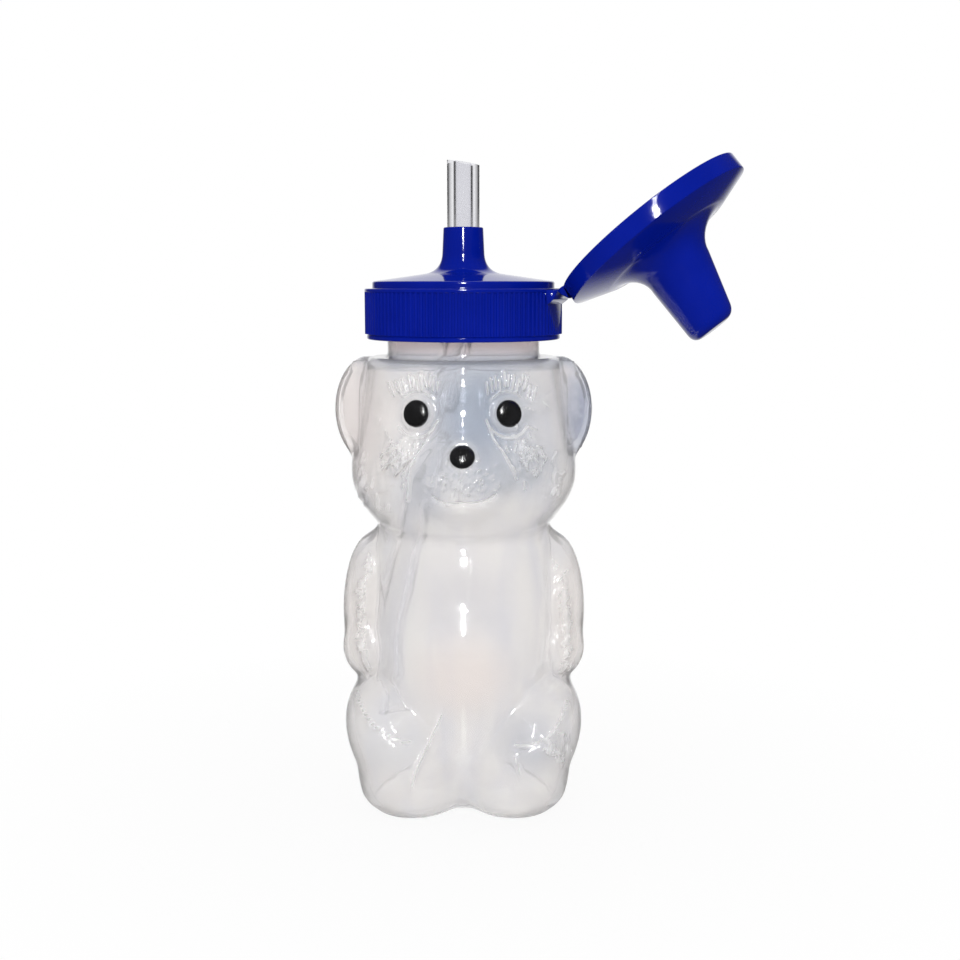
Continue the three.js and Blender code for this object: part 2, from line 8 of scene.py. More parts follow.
import bmesh
import bpy
import numpy as np
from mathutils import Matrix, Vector


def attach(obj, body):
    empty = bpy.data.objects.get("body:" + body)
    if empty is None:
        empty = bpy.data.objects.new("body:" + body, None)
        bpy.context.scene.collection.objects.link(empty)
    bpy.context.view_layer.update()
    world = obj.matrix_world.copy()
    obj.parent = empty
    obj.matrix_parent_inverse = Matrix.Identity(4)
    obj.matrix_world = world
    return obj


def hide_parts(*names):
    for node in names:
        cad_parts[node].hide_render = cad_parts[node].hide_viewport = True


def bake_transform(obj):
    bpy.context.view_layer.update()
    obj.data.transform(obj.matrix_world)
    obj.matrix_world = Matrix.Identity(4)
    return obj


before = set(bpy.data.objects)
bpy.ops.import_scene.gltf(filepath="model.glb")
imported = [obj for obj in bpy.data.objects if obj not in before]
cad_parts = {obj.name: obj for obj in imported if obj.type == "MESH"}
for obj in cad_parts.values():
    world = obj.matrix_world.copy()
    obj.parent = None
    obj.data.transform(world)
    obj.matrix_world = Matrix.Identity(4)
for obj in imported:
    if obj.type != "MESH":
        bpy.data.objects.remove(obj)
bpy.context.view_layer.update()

MM = 0.001
FROST = "frost"  # attribute that marks the moulded hairs and lines

# Bottle, as in the part's source
WALL = 1.1
CREASE_HEIGHT = 64.8
HEAD_TOP = 103.7
CROWN_ROUND = 1.8
CROWN_START = HEAD_TOP - CROWN_ROUND
DEPTH_RATIO = 0.937
TORSO_SIDE = [(17.5, 0), (22.6, 11), (23.6, 30), (22.4, 55.8), (19.9, CREASE_HEIGHT)]
HEAD_SIDE = [(19.9, CREASE_HEIGHT), (24.6, 71.4), (26.1, 78), (24.5, 90.8), (22.7, CROWN_START)]
LEG_SPLAY = math.radians(30)
# Half-axes, centre and splay of each form that stands out from the trunk. The paired ones are on +X.
PAIRED_FORMS = {
    "ear": ((8.2, 4.6, 12.5), (21.7, 0, 91.5), 0),
    "arm": ((7.2, 9.5, 18.4), (21.1, -2, 44.6), 0),
    "paw": ((6.6, 8, 7.6), (21.5, -6, 36.8), 0),
    "leg": ((11.5, 17, 17), (14.3, -8.5, 15), LEG_SPLAY),
    "foot": ((12.5, 15.5, 14), (11.9, -10.8, 9), 0),
}
TUMMY = ((17.5, 17, 23), (0, -6.8, 36), 0)
MUZZLE = ((10.4, 7.6, 9.4), (0, -20.4, 77.7), 0)
FAR_MISS = -60  # reach of a ray that misses a form
# How softly the forms run into each other
TUMMY_BLEND = 1.4
LIMB_BLEND = 0.4
LEG_BLEND = 1.6
ARM_BLEND = 0.9
EAR_BLEND = 0.6
MUZZLE_BLEND = 1.0
CHIN_BLEND = 0.5
CHIN_START = 0.8  # where the chin's slope leaves the muzzle, as a share of the muzzle's half-height
CHIN_TOP = 75
CHIN_FADE = 4
CHIN_LIMIT = 0.6  # cosine of the bearing from straight ahead past which there is no chin
CHIN_SIDES = (0.75, 0.85)  # cosines over which the chin comes in
BASE_ROUND = 4.0
FRONT_CREASE_DROP = 1.8  # the crease under the chin hangs lower in front
FRONT_CREASE_SIDES = (0.2, 0.75)
FRONT_CREASE_SPREAD = 9
NECK_RADIUS = 17.5
NECK_BORE = 16.2
NECK_TOP = 117.9
NECK_FILLET = 1.0
NECK_STEP = 0.6
BORE_FOOT_ROUND = 0.8
RIM_ROUND = 0.4
THREAD_START = 110.3
THREAD_PITCH = 4.23
THREAD_TURNS = 1.25
THREAD_HEIGHT = 1.25
THREAD_HALF_WIDTH = 1.0
THREAD_SLOPE = 0.5
THREAD_RUNOUT = 0.16  # share of a turn over which the thread's ends fade

# How finely the bottle's skin is divided
SKIN_COLUMNS = 336
FRONT_DENSITY = 0.6  # 0 spreads the columns evenly, near 1 crowds them at the front
BODY_STEP = 0.7
HEAD_STEP = 0.31
LINING_ROW_STEP = 4
# Three steps round a corner: how far it has left the side it starts on, and how far it is from the next one
CORNER = [(1 - math.cos(t), 1 - math.sin(t)) for t in np.radians([30, 60, 90])]

# How finely the other pieces are divided, and the bend in degrees past which an edge stays sharp
LID_COLUMNS = 216
CAP_COLUMNS = 168
SEAL_COLUMNS = 144
SMALL_COLUMNS = 48
STRAW_SAMPLES = 121
CRISP_MOULDING = 40
CRISP_CUT = 35
CRISP_STRAW = 60

# Eyes and nose
EYE_PLACE = (10, 92.3)
EYE_RADIUS = 3.0
EYE_DOME = 1.5
NOSE_HEIGHT = 83.4
NOSE_RADIUS = 2.75
NOSE_DOME = 1.6
DOME_EDGE = 0.25
DOME_SINK = 0.05

# Lid
LID_FOOT = 107.7
SHOULDER = 119.2
LID_RADIUS = 22.65
TOP_BAND_RADIUS = 22.68
FOOT_BAND_RADIUS = 22.2
SKIRT_INNER = 20.95
SLEEVE_OUTER = 20.15
SLEEVE_INNER = 19.05
SLEEVE_FOOT = 108.5
SKIRT_ROOF = 117.9
DECK_UNDER = 119.5
DECK_RADIUS = 20.9
DECK_EDGE = 120.8
SPOUT_TOP = 133.0
SPOUT_BORE = 3.9
SPOUT_RADIUS = 4.55
SPOUT_FOOT = (5.02, 123.05)
RIB_COUNT = 108
RIB_RADIUS = 0.42
RIB_VALLEY = 22.35
RIB_FOOT = 108.95
RIB_TOP = 118.5
RIB_SIDES = 10
RIB_CUT_DEEPER = 0.08  # the flat in the ribs lies this far under the lid's own

# Hinge, cap, straw and seal
CAP_MOUTH = 119.5
CAP_RADIUS = 23.1
CAP_INNER = 21.5
CAP_SHELL = 1.1
DISC_EDGE = 124.2
DISC_TOP = 126.1
CONE_FOOT = 15.7
CONE_BASE = 7.5
CONE_FLARE = 6.6
CONE_TIP = 5.4
CONE_LEAN = math.tan(math.radians(7.3))
CAP_TIP = 146.9
CAP_OPEN = math.radians(141)
HINGE_AZIMUTH = math.radians(-17.5)
HINGE_RADIUS = 23.7
HINGE_HEIGHT = 119.0
FOLD_REACH = (23.5, 24.1)  # the strap bends between these distances from the axis
FOLD_HEIGHT = 118.85
LID_FLAT_DEPTH = 1.3
CAP_FLAT_DEPTH = 1.1
STRAP_WIDTH = 14
STRAW_RADIUS = 3.7
STRAW_BORE = 1.8
STRAW_TOP = 148.0
STRAW_CUT_SLOPE = 0.16
STRAW_CUT_REACH = 6  # how far down the straw's slanting cut is felt
STRAW_ROUTE = [
    (0, 0, STRAW_TOP),
    (0, 0, 133),
    (0, 0, 119.5),
    (0, 0, 115.5),
    (-14.1, 0, 56.41),
    (-17.8, -2.75, 38.26),
    (-16.8, -5.5, 20.1),
]
SEAL_RADII = (15.4, 18.75)
SEAL_HEIGHTS = (118.2, 119.2)
SEAL_ROUND = 0.25


# Meshes


def ring_faces(rings):
    """Quads between neighbouring closed rings of vertex numbers."""
    faces = []
    for low, high in zip(rings, rings[1:]):
        faces += np.stack([low, np.roll(low, -1), np.roll(high, -1), high], axis=1).tolist()
    return faces


def numbered(rings):
    """Points of a list of rings in one array, and each ring's vertex numbers."""
    ends = np.cumsum([len(r) for r in rings])
    return np.vstack(rings), [np.arange(end - len(r), end) for r, end in zip(rings, ends)]


def make_piece(name, points, faces, material, crisp=None, frost=None):
    """A smooth-shaded mesh object from points in millimetres. Edges bent past crisp degrees stay sharp.

    The frost, if there is one, is a value for each point that the material reads.
    """
    mesh = bpy.data.meshes.new(name)
    mesh.from_pydata((np.asarray(points, float) * MM).tolist(), [], faces)
    if frost is not None:
        mesh.attributes.new(FROST, "FLOAT", "POINT").data.foreach_set("value", frost)
    work = bmesh.new()
    work.from_mesh(mesh)
    bmesh.ops.remove_doubles(work, verts=work.verts, dist=1e-7)
    bmesh.ops.dissolve_degenerate(work, edges=work.edges, dist=1e-8)
    work.to_mesh(mesh)
    work.free()
    finish_mesh(mesh, material, crisp)
    obj = bpy.data.objects.new(name, mesh)
    bpy.context.scene.collection.objects.link(obj)
    return obj


def finish_mesh(mesh, material, crisp=None):
    mesh.shade_smooth()
    if crisp is not None:
        mesh.set_sharp_from_angle(angle=math.radians(crisp))
    mesh.materials.clear()
    mesh.materials.append(material)


def face_outward(mesh):
    work = bmesh.new()
    work.from_mesh(mesh)
    bmesh.ops.recalc_face_normals(work, faces=work.faces)
    work.to_mesh(mesh)
    work.free()


def rounded(corners, steps=5):
    """A closed outline of (radius, height, fillet) corners, each turned by an arc of its fillet."""
    out = []
    for i, (r, z, fillet) in enumerate(corners):
        here = np.array([r, z], float)
        before = np.array(corners[i - 1][:2], float) - here
        after = np.array(corners[(i + 1) % len(corners)][:2], float) - here
        if fillet <= 0:
            out.append(here)
            continue
        lengths = np.linalg.norm(before), np.linalg.norm(after)
        before, after = before / lengths[0], after / lengths[1]
        half = math.acos(max(-1, min(1, before @ after))) / 2
        run = min(fillet / math.tan(half), 0.49 * min(lengths))
        start, end = here + run * before, here + run * after
        for t in np.linspace(0, 1, steps + 1 + int(2 * fillet)):
            out.append((1 - t) ** 2 * start + 2 * t * (1 - t) * here + t**2 * end)
    return np.array(out)


def turned(outline, columns):
    """Points and faces of a closed (radius, height) outline turned about Z."""
    angles = np.linspace(0, 2 * math.pi, columns, endpoint=False)
    circle = np.stack([np.cos(angles), np.sin(angles)], axis=1)
    rings = [np.column_stack([r * circle, np.full(columns, z)]) for r, z in outline]
    points, numbers = numbered(rings)
    return points, ring_faces(numbers + numbers[:1])


def turn_about_z(points, angle):
    c, s = math.cos(angle), math.sin(angle)
    x, y, z = np.asarray(points, float).T
    return np.stack([c * x - s * y, s * x + c * y, z], axis=1)


def swing_open(points):
    """From the closed cap's place in the hinge's own frame to where the open cap is at rest."""
    c, s = math.cos(CAP_OPEN), math.sin(CAP_OPEN)
    x, y, z = (np.asarray(points, float) - (HINGE_RADIUS, 0, HINGE_HEIGHT)).T
    opened = np.stack([c * x + s * z + HINGE_RADIUS, y, -s * x + c * z + HINGE_HEIGHT], axis=1)
    return turn_about_z(opened, HINGE_AZIMUTH)


def plain_mesh(obj):
    """Works the object's modifiers into its mesh and removes them."""
    depsgraph = bpy.context.evaluated_depsgraph_get()
    mesh = bpy.data.meshes.new_from_object(obj.evaluated_get(depsgraph))
    obj.modifiers.clear()
    obj.data = mesh


def cut_away(obj, points, faces):
    """Takes a closed shape, given in millimetres, out of the object."""
    mesh = bpy.data.meshes.new("cutter")
    mesh.from_pydata((points * MM).tolist(), [], faces)
    face_outward(mesh)
    cutter = bpy.data.objects.new("cutter", mesh)
    bpy.context.scene.collection.objects.link(cutter)
    cut = obj.modifiers.new("cut", "BOOLEAN")
    cut.operation = "DIFFERENCE"
    cut.solver = "EXACT"
    cut.object = cutter
    plain_mesh(obj)
    bpy.data.objects.remove(cutter)


# Bottle


def cubic(p1, p2, v1, v2, share):
    """Point at a share of the way along a cubic between two points with their tangents."""
    bend = (2 * p1 - 2 * p2 + v1 + v2) * share**3 + (3 * p2 - 3 * p1 - 2 * v1 - v2) * share**2
    return bend + v1 * share + p1


def side_curve(corners, samples=200):
    """A smooth curve through (radius, height) corners, with the source's own tangents."""
    corners = np.array(corners, float)
    last = len(corners) - 1
    out = []
    for share in np.linspace(0, last, samples):
        i = min(int(share), last - 1)
        p0, p1, p2, p3 = (corners[min(max(k, 0), last)] for k in (i - 1, i, i + 1, i + 2))
        out.append(cubic(p1, p2, (p2 - p0) / 2, (p3 - p1) / 2, share - i))
    return np.array(out)


TRUNK = np.vstack([side_curve(TORSO_SIDE), side_curve(HEAD_SIDE)[1:]])


def trunk_radius(height):
    """Radius of the round trunk, with the crown's edge turned over at the top."""
    over = np.clip((height - CROWN_START) / CROWN_ROUND, 0, 1)
    return np.interp(height, TRUNK[:, 1], TRUNK[:, 0]) - CROWN_ROUND * (1 - np.sqrt(1 - over**2))


def form_reach(form, across, ahead, height):
    """How far from the axis each level ray leaves an ellipsoid, or a low value where it misses."""
    half, centre, splay = form
    c, s = math.cos(splay), math.sin(splay)

    def local(x, y, z):
        return [(c * x - s * z) / half[0], y / half[1], (s * x + c * z) / half[2]]

    way = local(across, ahead, 0 * across)
    start = local(-centre[0], -centre[1], height - centre[2])
    a = sum(w * w for w in way)
    b = 2 * sum(w * o for w, o in zip(way, start))
    k = sum(o * o for o in start) - 1
    inside = b * b - 4 * a * k
    return np.where(inside > 0, (-b + np.sqrt(np.maximum(inside, 0))) / (2 * a), FAR_MISS)


def smooth_step(low, high, value):
    t = np.clip((value - low) / (high - low), 0, 1)
    return t * t * (3 - 2 * t)


def soft_most(reaches, blend):
    """The largest of the reaches, with the creases between them filled."""
    most = np.max(reaches, axis=0)
    return most + blend * np.log(sum(np.exp((r - most) / blend) for r in reaches))


def column_angles():
    even = np.linspace(0, 2 * math.pi, SKIN_COLUMNS, endpoint=False)
    return even - FRONT_DENSITY * np.sin(even)


def side_heights():
    foot = np.linspace(0, BASE_ROUND, 12)[:-1]
    body = np.arange(BASE_ROUND, CREASE_HEIGHT, BODY_STEP)
    head = np.linspace(CREASE_HEIGHT, CROWN_START, int((CROWN_START - CREASE_HEIGHT) / HEAD_STEP))
    crown = CROWN_START + CROWN_ROUND * np.sin(np.linspace(0, math.pi / 2, 9)[1:])
    return np.concatenate([foot, body, head, crown])


def skin_radius(angles, heights):
    """Radius of the plain skin, and how far the muzzle stands out from the trunk."""
    across, ahead = np.sin(angles)[None, :], -np.cos(angles)[None, :]
    z = heights[:, None] + 0 * across
    low = np.exp(-(((z - CREASE_HEIGHT) / FRONT_CREASE_SPREAD) ** 2))
    drop = FRONT_CREASE_DROP * smooth_step(*FRONT_CREASE_SIDES, -ahead) * low
    trunk = trunk_radius(z + drop) / np.sqrt(across**2 + (ahead / DEPTH_RATIO) ** 2)
    muzzle = form_reach(MUZZLE, across, ahead, z)

    def reach(name, side):
        half, (x, y, middle), splay = PAIRED_FORMS[name]
        return form_reach((half, (side * x, y, middle), side * splay), across, ahead, z)

    radius = soft_most([trunk, form_reach(TUMMY, across, ahead, z)], TUMMY_BLEND)
    legs = [soft_most([reach("leg", side), reach("foot", side)], LIMB_BLEND) for side in (-1, 1)]
    arms = [soft_most([reach("arm", side), reach("paw", side)], LIMB_BLEND) for side in (-1, 1)]
    radius = soft_most([radius, *legs], LEG_BLEND)
    radius = soft_most([radius, *arms], ARM_BLEND)
    radius = soft_most([radius, reach("ear", -1), reach("ear", 1)], EAR_BLEND)
    radius = soft_most([radius, muzzle], MUZZLE_BLEND)
    chin = soft_most([radius, chin_reach(across, ahead, z, radius)], CHIN_BLEND) - radius
    radius += chin * smooth_step(CHIN_TOP, CHIN_TOP - CHIN_FADE, z) * smooth_step(*CHIN_SIDES, -ahead)
    for _ in range(3):
        radius = (np.roll(radius, 1, 1) + 2 * radius + np.roll(radius, -1, 1)) / 4
        radius[1:-1] = (radius[:-2] + 2 * radius[1:-1] + radius[2:]) / 4
    low = np.clip(1 - heights / BASE_ROUND, 0, 1)
    radius -= (BASE_ROUND * (1 - np.sqrt(1 - low**2)))[:, None]
    return radius, muzzle - trunk


def chin_reach(across, ahead, height, radius):
    """How far out a slope lies that runs on from the muzzle's underside to the crease below it."""
    half, centre, _ = MUZZLE
    off = np.hypot(radius * across / half[0], (height - centre[2]) / half[2])
    start = math.sqrt(1 - CHIN_START**2)
    out = start - CHIN_START / start * (off - CHIN_START)
    return np.where(ahead < -CHIN_LIMIT, (half[1] * out - centre[1]) / np.maximum(-ahead, CHIN_LIMIT), 0)


def outward(points):
    """Outward normals of a grid of points whose columns close round."""
    along = np.roll(points, -1, 1) - np.roll(points, 1, 1)
    up = np.gradient(points, axis=0)
    normals = np.cross(along, up)
    return normals / np.linalg.norm(normals, axis=2, keepdims=True)


def near_line(x, z, line):
    """Distance of each point from a line through (x, z) points."""
    best = np.full(x.shape, np.inf)
    for (x0, z0), (x1, z1) in zip(line, line[1:]):
        dx, dz = x1 - x0, z1 - z0
        t = np.clip(((x - x0) * dx + (z - z0) * dz) / (dx * dx + dz * dz), 0, 1)
        best = np.minimum(best, np.hypot(x - x0 - t * dx, z - z0 - t * dz))
    return best


def eye_seat(side):
    """Where an eye sits on the head, and the way it faces."""
    x, z = side * EYE_PLACE[0], EYE_PLACE[1]
    radius = trunk_radius(z)
    slope = trunk_radius(z + 0.5) - trunk_radius(z - 0.5)
    y = -DEPTH_RATIO * math.sqrt(radius**2 - x**2)
    normal = np.array([x, y / DEPTH_RATIO**2, -radius * slope])
    return np.array([x, y, z]), normal / np.linalg.norm(normal)


def nose_seat():
    """Where the nose sits on the muzzle, and the way it faces."""
    half, centre, _ = MUZZLE
    rise = NOSE_HEIGHT - centre[2]
    out = math.sqrt(1 - (rise / half[2]) ** 2)
    normal = np.array([0, -out / half[1], rise / half[2] ** 2])
    return np.array([0, centre[1] - half[1] * out, NOSE_HEIGHT]), normal / np.linalg.norm(normal)


# Moulded relief of the front

FRONT_DEPTHS = (0, -4)  # y at which the front begins and is full
BASE_FADE = (0, 3)  # heights over which the relief comes in above the foot
# Lines: points in (x, z), half-width and height
SMILE = [(-6.4, 74.8), (-5.2, 73.9), (-3.2, 73.4), (-0.3, 73.6), (3.2, 73.5), (5.8, 74.1), (7.4, 75.2)]
MOULDED_LINES = [
    ([(-0.3, 81), (-0.3, 73.6)], 0.35, -0.45),
    (SMILE, 0.38, -0.75),
    ([(5.2, 91), (6.4, 87.5), (8.4, 83.5), (11.2, 78.2)], 0.36, 0.8),
    ([(-5.2, 91), (-7.4, 87.5), (-9.8, 83.0), (-11.2, 79), (-12, 73.5)], 0.4, 0.65),
    ([(-24.3, 27.7), (-22, 24.6), (-19, 22.1), (-15.5, 20.2), (-11.4, 19.1)], 0.5, -0.75),
    ([(23.4, 26.4), (21.4, 23.2), (18.9, 20.5), (15.5, 19), (11.6, 18.6)], 0.5, -0.75),
    ([(-4.5, 25.5), (-6.4, 21), (-8.9, 16.6), (-10.4, 13.6), (-11.4, 9.8)], 0.45, 0.6),
    ([(11.4, 16.8), (12.2, 14.8), (12.9, 12)], 0.4, 0.6),
    ([(17.8, 57), (18.8, 50), (18.4, 42), (17.2, 34)], 0.7, 0.3),
    ([(1.2, 62.5), (1.9, 59.5), (1.1, 56.5), (1.6, 53), (1.3, 50)], 0.45, 0.16),
]
# Patches of hair: middle (x, z), spread, count, lean from upright in degrees, length and height
HAIR_PATCHES = [
    ((-13.4, 83.0), (1.9, 2.6), 90, 24, 1.2, 0.55),
    ((13.6, 83.2), (1.9, 2.6), 90, -24, 1.2, 0.55),
    ((1.5, 78.5), (2.5, 1.6), 130, 35, 0.45, 0.45),
    ((-5.6, 77.4), (1.2, 1.6), 14, -35, 0.9, 0.3),
    ((-17.6, 75.6), (1.4, 3.0), 26, 12, 1.8, 0.36),
    ((19.4, 76.6), (1.2, 2.4), 26, -12, 1.8, 0.42),
    ((16.6, 94.6), (1.8, 1.4), 30, -50, 1.4, 0.42),
    ((-16.8, 88.4), (1.3, 2.2), 18, 30, 1.5, 0.34),
    ((20.6, 17.6), (1.2, 1.6), 26, -30, 1.8, 0.65),
    ((25.6, 91.5), (0.6, 4.0), 24, -12, 2.4, 0.4),
]
PATCH_HAIR_WIDTH = 0.32
PATCH_HAIR_SWAY = 28
PATCH_HAIR_UNEVENNESS = (0.25, 0.2)  # in length and height
# Hair along a crease: points in (x, z), count, lean, length and height
HAIR_LINES = [
    ([(-20.6, 58.8), (-22.8, 52), (-23.5, 46), (-23.0, 38), (-21.6, 32.5)], 80, -35, 1.7, 0.65),
    ([(20.8, 58.2), (22.4, 51), (23.2, 44), (23.4, 37.5), (22.4, 32.5)], 80, 35, 1.7, 0.65),
    ([(-24.0, 27.4), (-21.4, 24.0), (-18.6, 21.8)], 22, -40, 1.6, 0.36),
    ([(23.0, 26.0), (20.8, 22.6), (18.6, 20.2)], 22, 40, 1.6, 0.36),
    ([(-23.8, 70.0), (-22.4, 82)], 18, 15, 1.8, 0.2),
]
LINE_HAIR_WIDTH = 0.36
LINE_HAIR_SWAY = 14
LINE_HAIR_SCATTER = 0.5
LINE_HAIR_UNEVENNESS = 0.2  # in length
HAIR_OVERLAP = 0.6  # share of the height below that a hair keeps under it
# Brows: fans of strokes along an arch
BROW_STROKES = 12
BROW_START = 5.2
BROW_STEP = 0.92
BROW_PEAK = (9, 99.2)
BROW_ARCH = 0.05
BROW_LEAN = -10
BROW_FAN = 3
BROW_LENGTH = 2.7
BROW_WIDTH = 0.26
BROW_HEIGHT = 0.9
BROW_UNEVENNESS = (0.12, 0.35, 5, 0.35)  # in x, z, lean and length
# Round each eye and the nose: distance from its middle, spread and height
EYE_HOLLOW = (5.2, 1.7, -0.55)
EYE_RING = (3.6, 0.3, 0.7)
LOWER_LID = (5.2, 0.4, 0.85)
UPPER_LID = (4.9, 0.5, 0.4)
NOSE_RING = (3.3, 0.32, 0.5)
LOWER_LID_ARC = (0.25, 0.75)  # how far under the eye's middle the lid comes in and is full, as a sine
UPPER_LID_ARC = (0.3, 0.8)
UPPER_LID_FROST = 0.6
# Flats under the eyes and the nose: where each begins and is full, and its height
EYE_FLAT = (3.7, 3.3, 0.25)
NOSE_FLAT = (3.4, 3.0, 0.05)
# Snout that runs up to the brow: (height, half-width) points, and the heights at which it fades
SNOUT_HALF_WIDTH = [(71, 12.2), (75, 12), (80.5, 10.3), (88.6, 6.6), (95.4, 4.3), (101, 3.2)]
SNOUT_HEIGHT = 0.55
SNOUT_EDGE = 1.3
SNOUT_FOOT = (76, 84)
SNOUT_TOP = (102, 98)
SNOUT_TO_MUZZLE = (-1.2, 0.8)  # it ends as the muzzle comes out of the head
# Hollow front of the ears: where they leave the head, how far in the hollow begins and is full, and its depth
EAR_SIDES = (23.2, 24.6)
EAR_DEPTHS = (1.0, -1.0)
EAR_HOLLOW = (0.9, 0.74)
EAR_HOLLOW_DEPTH = 0.9
# Soft swellings and hollows of the cheeks, belly, chest, brow and bridge: middle (x, z), spread and height.
# Those off the middle are on both sides.
SWELLINGS = [
    ((13.6, 82.4), (5, 4.8), 1.0),
    ((0, 41), (9, 4), 0.5),
    ((0, 51), (9, 3.5), -0.55),
    ((0, 98.6), (9, 3.2), 0.5),
    ((0, 89.6), (3.2, 2.2), 0.45),
]
# Line that the mould's halves leave at the sides
SEAM_SIDES = (20, 22)
SEAM_WIDTH = 0.22
SEAM_HEIGHT = 0.07


def hair_strokes():
    """Every short hair of the moulded fur as (x0, z0, x1, z1, half-width, height)."""
    rng = np.random.default_rng(11)
    strokes = []

    def add(x, z, lean, length, width, height):
        dx, dz = math.sin(lean) * length / 2, math.cos(lean) * length / 2
        strokes.append((x - dx, z - dz, x + dx, z + dz, width, height))

    for (x, z), (wide, tall), count, lean, length, height in HAIR_PATCHES:
        for dx, dz, turn, share in rng.normal(size=(count, 4)):
            longer, higher = (1 + most * np.clip(share, -2, 2) for most in PATCH_HAIR_UNEVENNESS)
            add(x + wide * dx, z + tall * dz, math.radians(lean + PATCH_HAIR_SWAY * turn),
                length * longer, PATCH_HAIR_WIDTH, height * higher)
    for line, count, lean, length, height in HAIR_LINES:
        knots = np.linspace(0, 1, len(line))
        line_x, line_z = zip(*line)
        draws = rng.uniform(size=count), rng.normal(size=count), rng.normal(size=count)
        for share, across, turn in zip(*draws):
            x = np.interp(share, knots, line_x) + LINE_HAIR_SCATTER * across
            z = np.interp(share, knots, line_z)
            longer = 1 + LINE_HAIR_UNEVENNESS * np.clip(across, -2, 2)
            add(x, z, math.radians(lean + LINE_HAIR_SWAY * turn), length * longer, LINE_HAIR_WIDTH, height)
    for side in (-1, 1):
        for i in range(BROW_STROKES):
            off_x, off_z, turn, more = BROW_UNEVENNESS * rng.normal(size=4)
            x = BROW_START + BROW_STEP * i + off_x
            z = BROW_PEAK[1] - BROW_ARCH * (x - BROW_PEAK[0]) ** 2 + off_z
            lean = side * math.radians(BROW_LEAN + BROW_FAN * i + turn)
            add(side * x, z, lean, BROW_LENGTH + more, BROW_WIDTH, BROW_HEIGHT)
    return strokes


def ridge(distance, spread):
    """1 on a line, falling off smoothly to each side of it."""
    return np.exp(-((distance / spread) ** 2))


def eye_relief(points, side):
    """Height of the hollow, flat, ring and lids round one eye, and how frosted the lids are."""
    off = points - eye_seat(side)[0]
    d = np.linalg.norm(off, axis=2)
    rise = off[..., 2] / np.maximum(d, 1e-6)
    lower = smooth_step(*LOWER_LID_ARC, -rise) * ridge(d - LOWER_LID[0], LOWER_LID[1])
    upper = smooth_step(*UPPER_LID_ARC, rise) * ridge(d - UPPER_LID[0], UPPER_LID[1])
    height = LOWER_LID[2] * lower + UPPER_LID[2] * upper
    for place, spread, most in (EYE_HOLLOW, EYE_RING):
        height += most * ridge(d - place, spread)
    begins, full, most = EYE_FLAT
    return height + most * smooth_step(begins, full, d), np.maximum(lower, UPPER_LID_FROST * upper)


def nose_relief(points):
    d = np.linalg.norm(points - nose_seat()[0], axis=2)
    begins, full, most = NOSE_FLAT
    return most * smooth_step(begins, full, d) + NOSE_RING[2] * ridge(d - NOSE_RING[0], NOSE_RING[1])


def moulded_relief(points, muzzle_stands):
    """Height of the face, fur, creases and mould line over the plain skin, and the frost on it."""
    x, y, z = points[..., 0], points[..., 1], points[..., 2]
    aside = np.abs(x)
    front = smooth_step(*FRONT_DEPTHS, y)
    frost = np.zeros(x.shape)
    width = np.interp(z, *zip(*SNOUT_HALF_WIDTH))
    snout = smooth_step(-SNOUT_EDGE, SNOUT_EDGE, width - aside) * smooth_step(*SNOUT_FOOT, z)
    snout *= smooth_step(*SNOUT_TOP, z) * (1 - smooth_step(*SNOUT_TO_MUZZLE, muzzle_stands))
    relief = SNOUT_HEIGHT * front * snout
    for side in (-1, 1):
        height, lids = eye_relief(points, side)
        relief += height
        frost = np.maximum(frost, lids)
    relief += nose_relief(points)
    for line, width, height in MOULDED_LINES:
        mark = front * ridge(near_line(x, z, line), width)
        relief += height * mark
        frost = np.maximum(frost, abs(height) * mark)
    for x0, z0, x1, z1, width, height in hair_strokes():
        reach = 3 * width
        close = (np.abs(x - (x0 + x1) / 2) < abs(x1 - x0) / 2 + reach) & (y < 0)
        close &= np.abs(z - (z0 + z1) / 2) < abs(z1 - z0) / 2 + reach
        mark = height * ridge(near_line(x[close], z[close], [(x0, z0), (x1, z1)]), width)
        relief[close] = np.maximum(relief[close], relief[close] * HAIR_OVERLAP + mark)
        frost[close] = np.maximum(frost[close], mark)
    half, centre, _ = PAIRED_FORMS["ear"]
    ear = np.hypot((aside - centre[0]) / half[0], (z - centre[2]) / half[2])
    on_ear = smooth_step(*EAR_SIDES, aside) * smooth_step(*EAR_DEPTHS, y)
    relief -= EAR_HOLLOW_DEPTH * on_ear * smooth_step(*EAR_HOLLOW, ear)
    for (middle_x, middle_z), (wide, tall), height in SWELLINGS:
        relief += height * front * ridge(aside - middle_x, wide) * ridge(z - middle_z, tall)
    relief += SEAM_HEIGHT * smooth_step(*SEAM_SIDES, aside) * ridge(y, SEAM_WIDTH)
    return relief, np.minimum(frost, 1)


def thread_height(angles, z):
    """How far the neck's thread stands out at each angle, counted from +X, and height."""
    turn = np.mod(angles - math.pi / 2, 2 * math.pi) / (2 * math.pi)
    out = np.zeros((len(z), len(angles)))
    for k in (0, 1):
        share = turn + k
        off = np.abs(z[:, None] - THREAD_START - THREAD_PITCH * share[None, :])
        fade = np.clip(np.minimum(share, THREAD_TURNS - share) / THREAD_RUNOUT, 0, 1)
        crest = np.clip((THREAD_HALF_WIDTH - off) / THREAD_SLOPE, 0, 1)
        out = np.maximum(out, THREAD_HEIGHT * crest * fade[None, :])
    return out


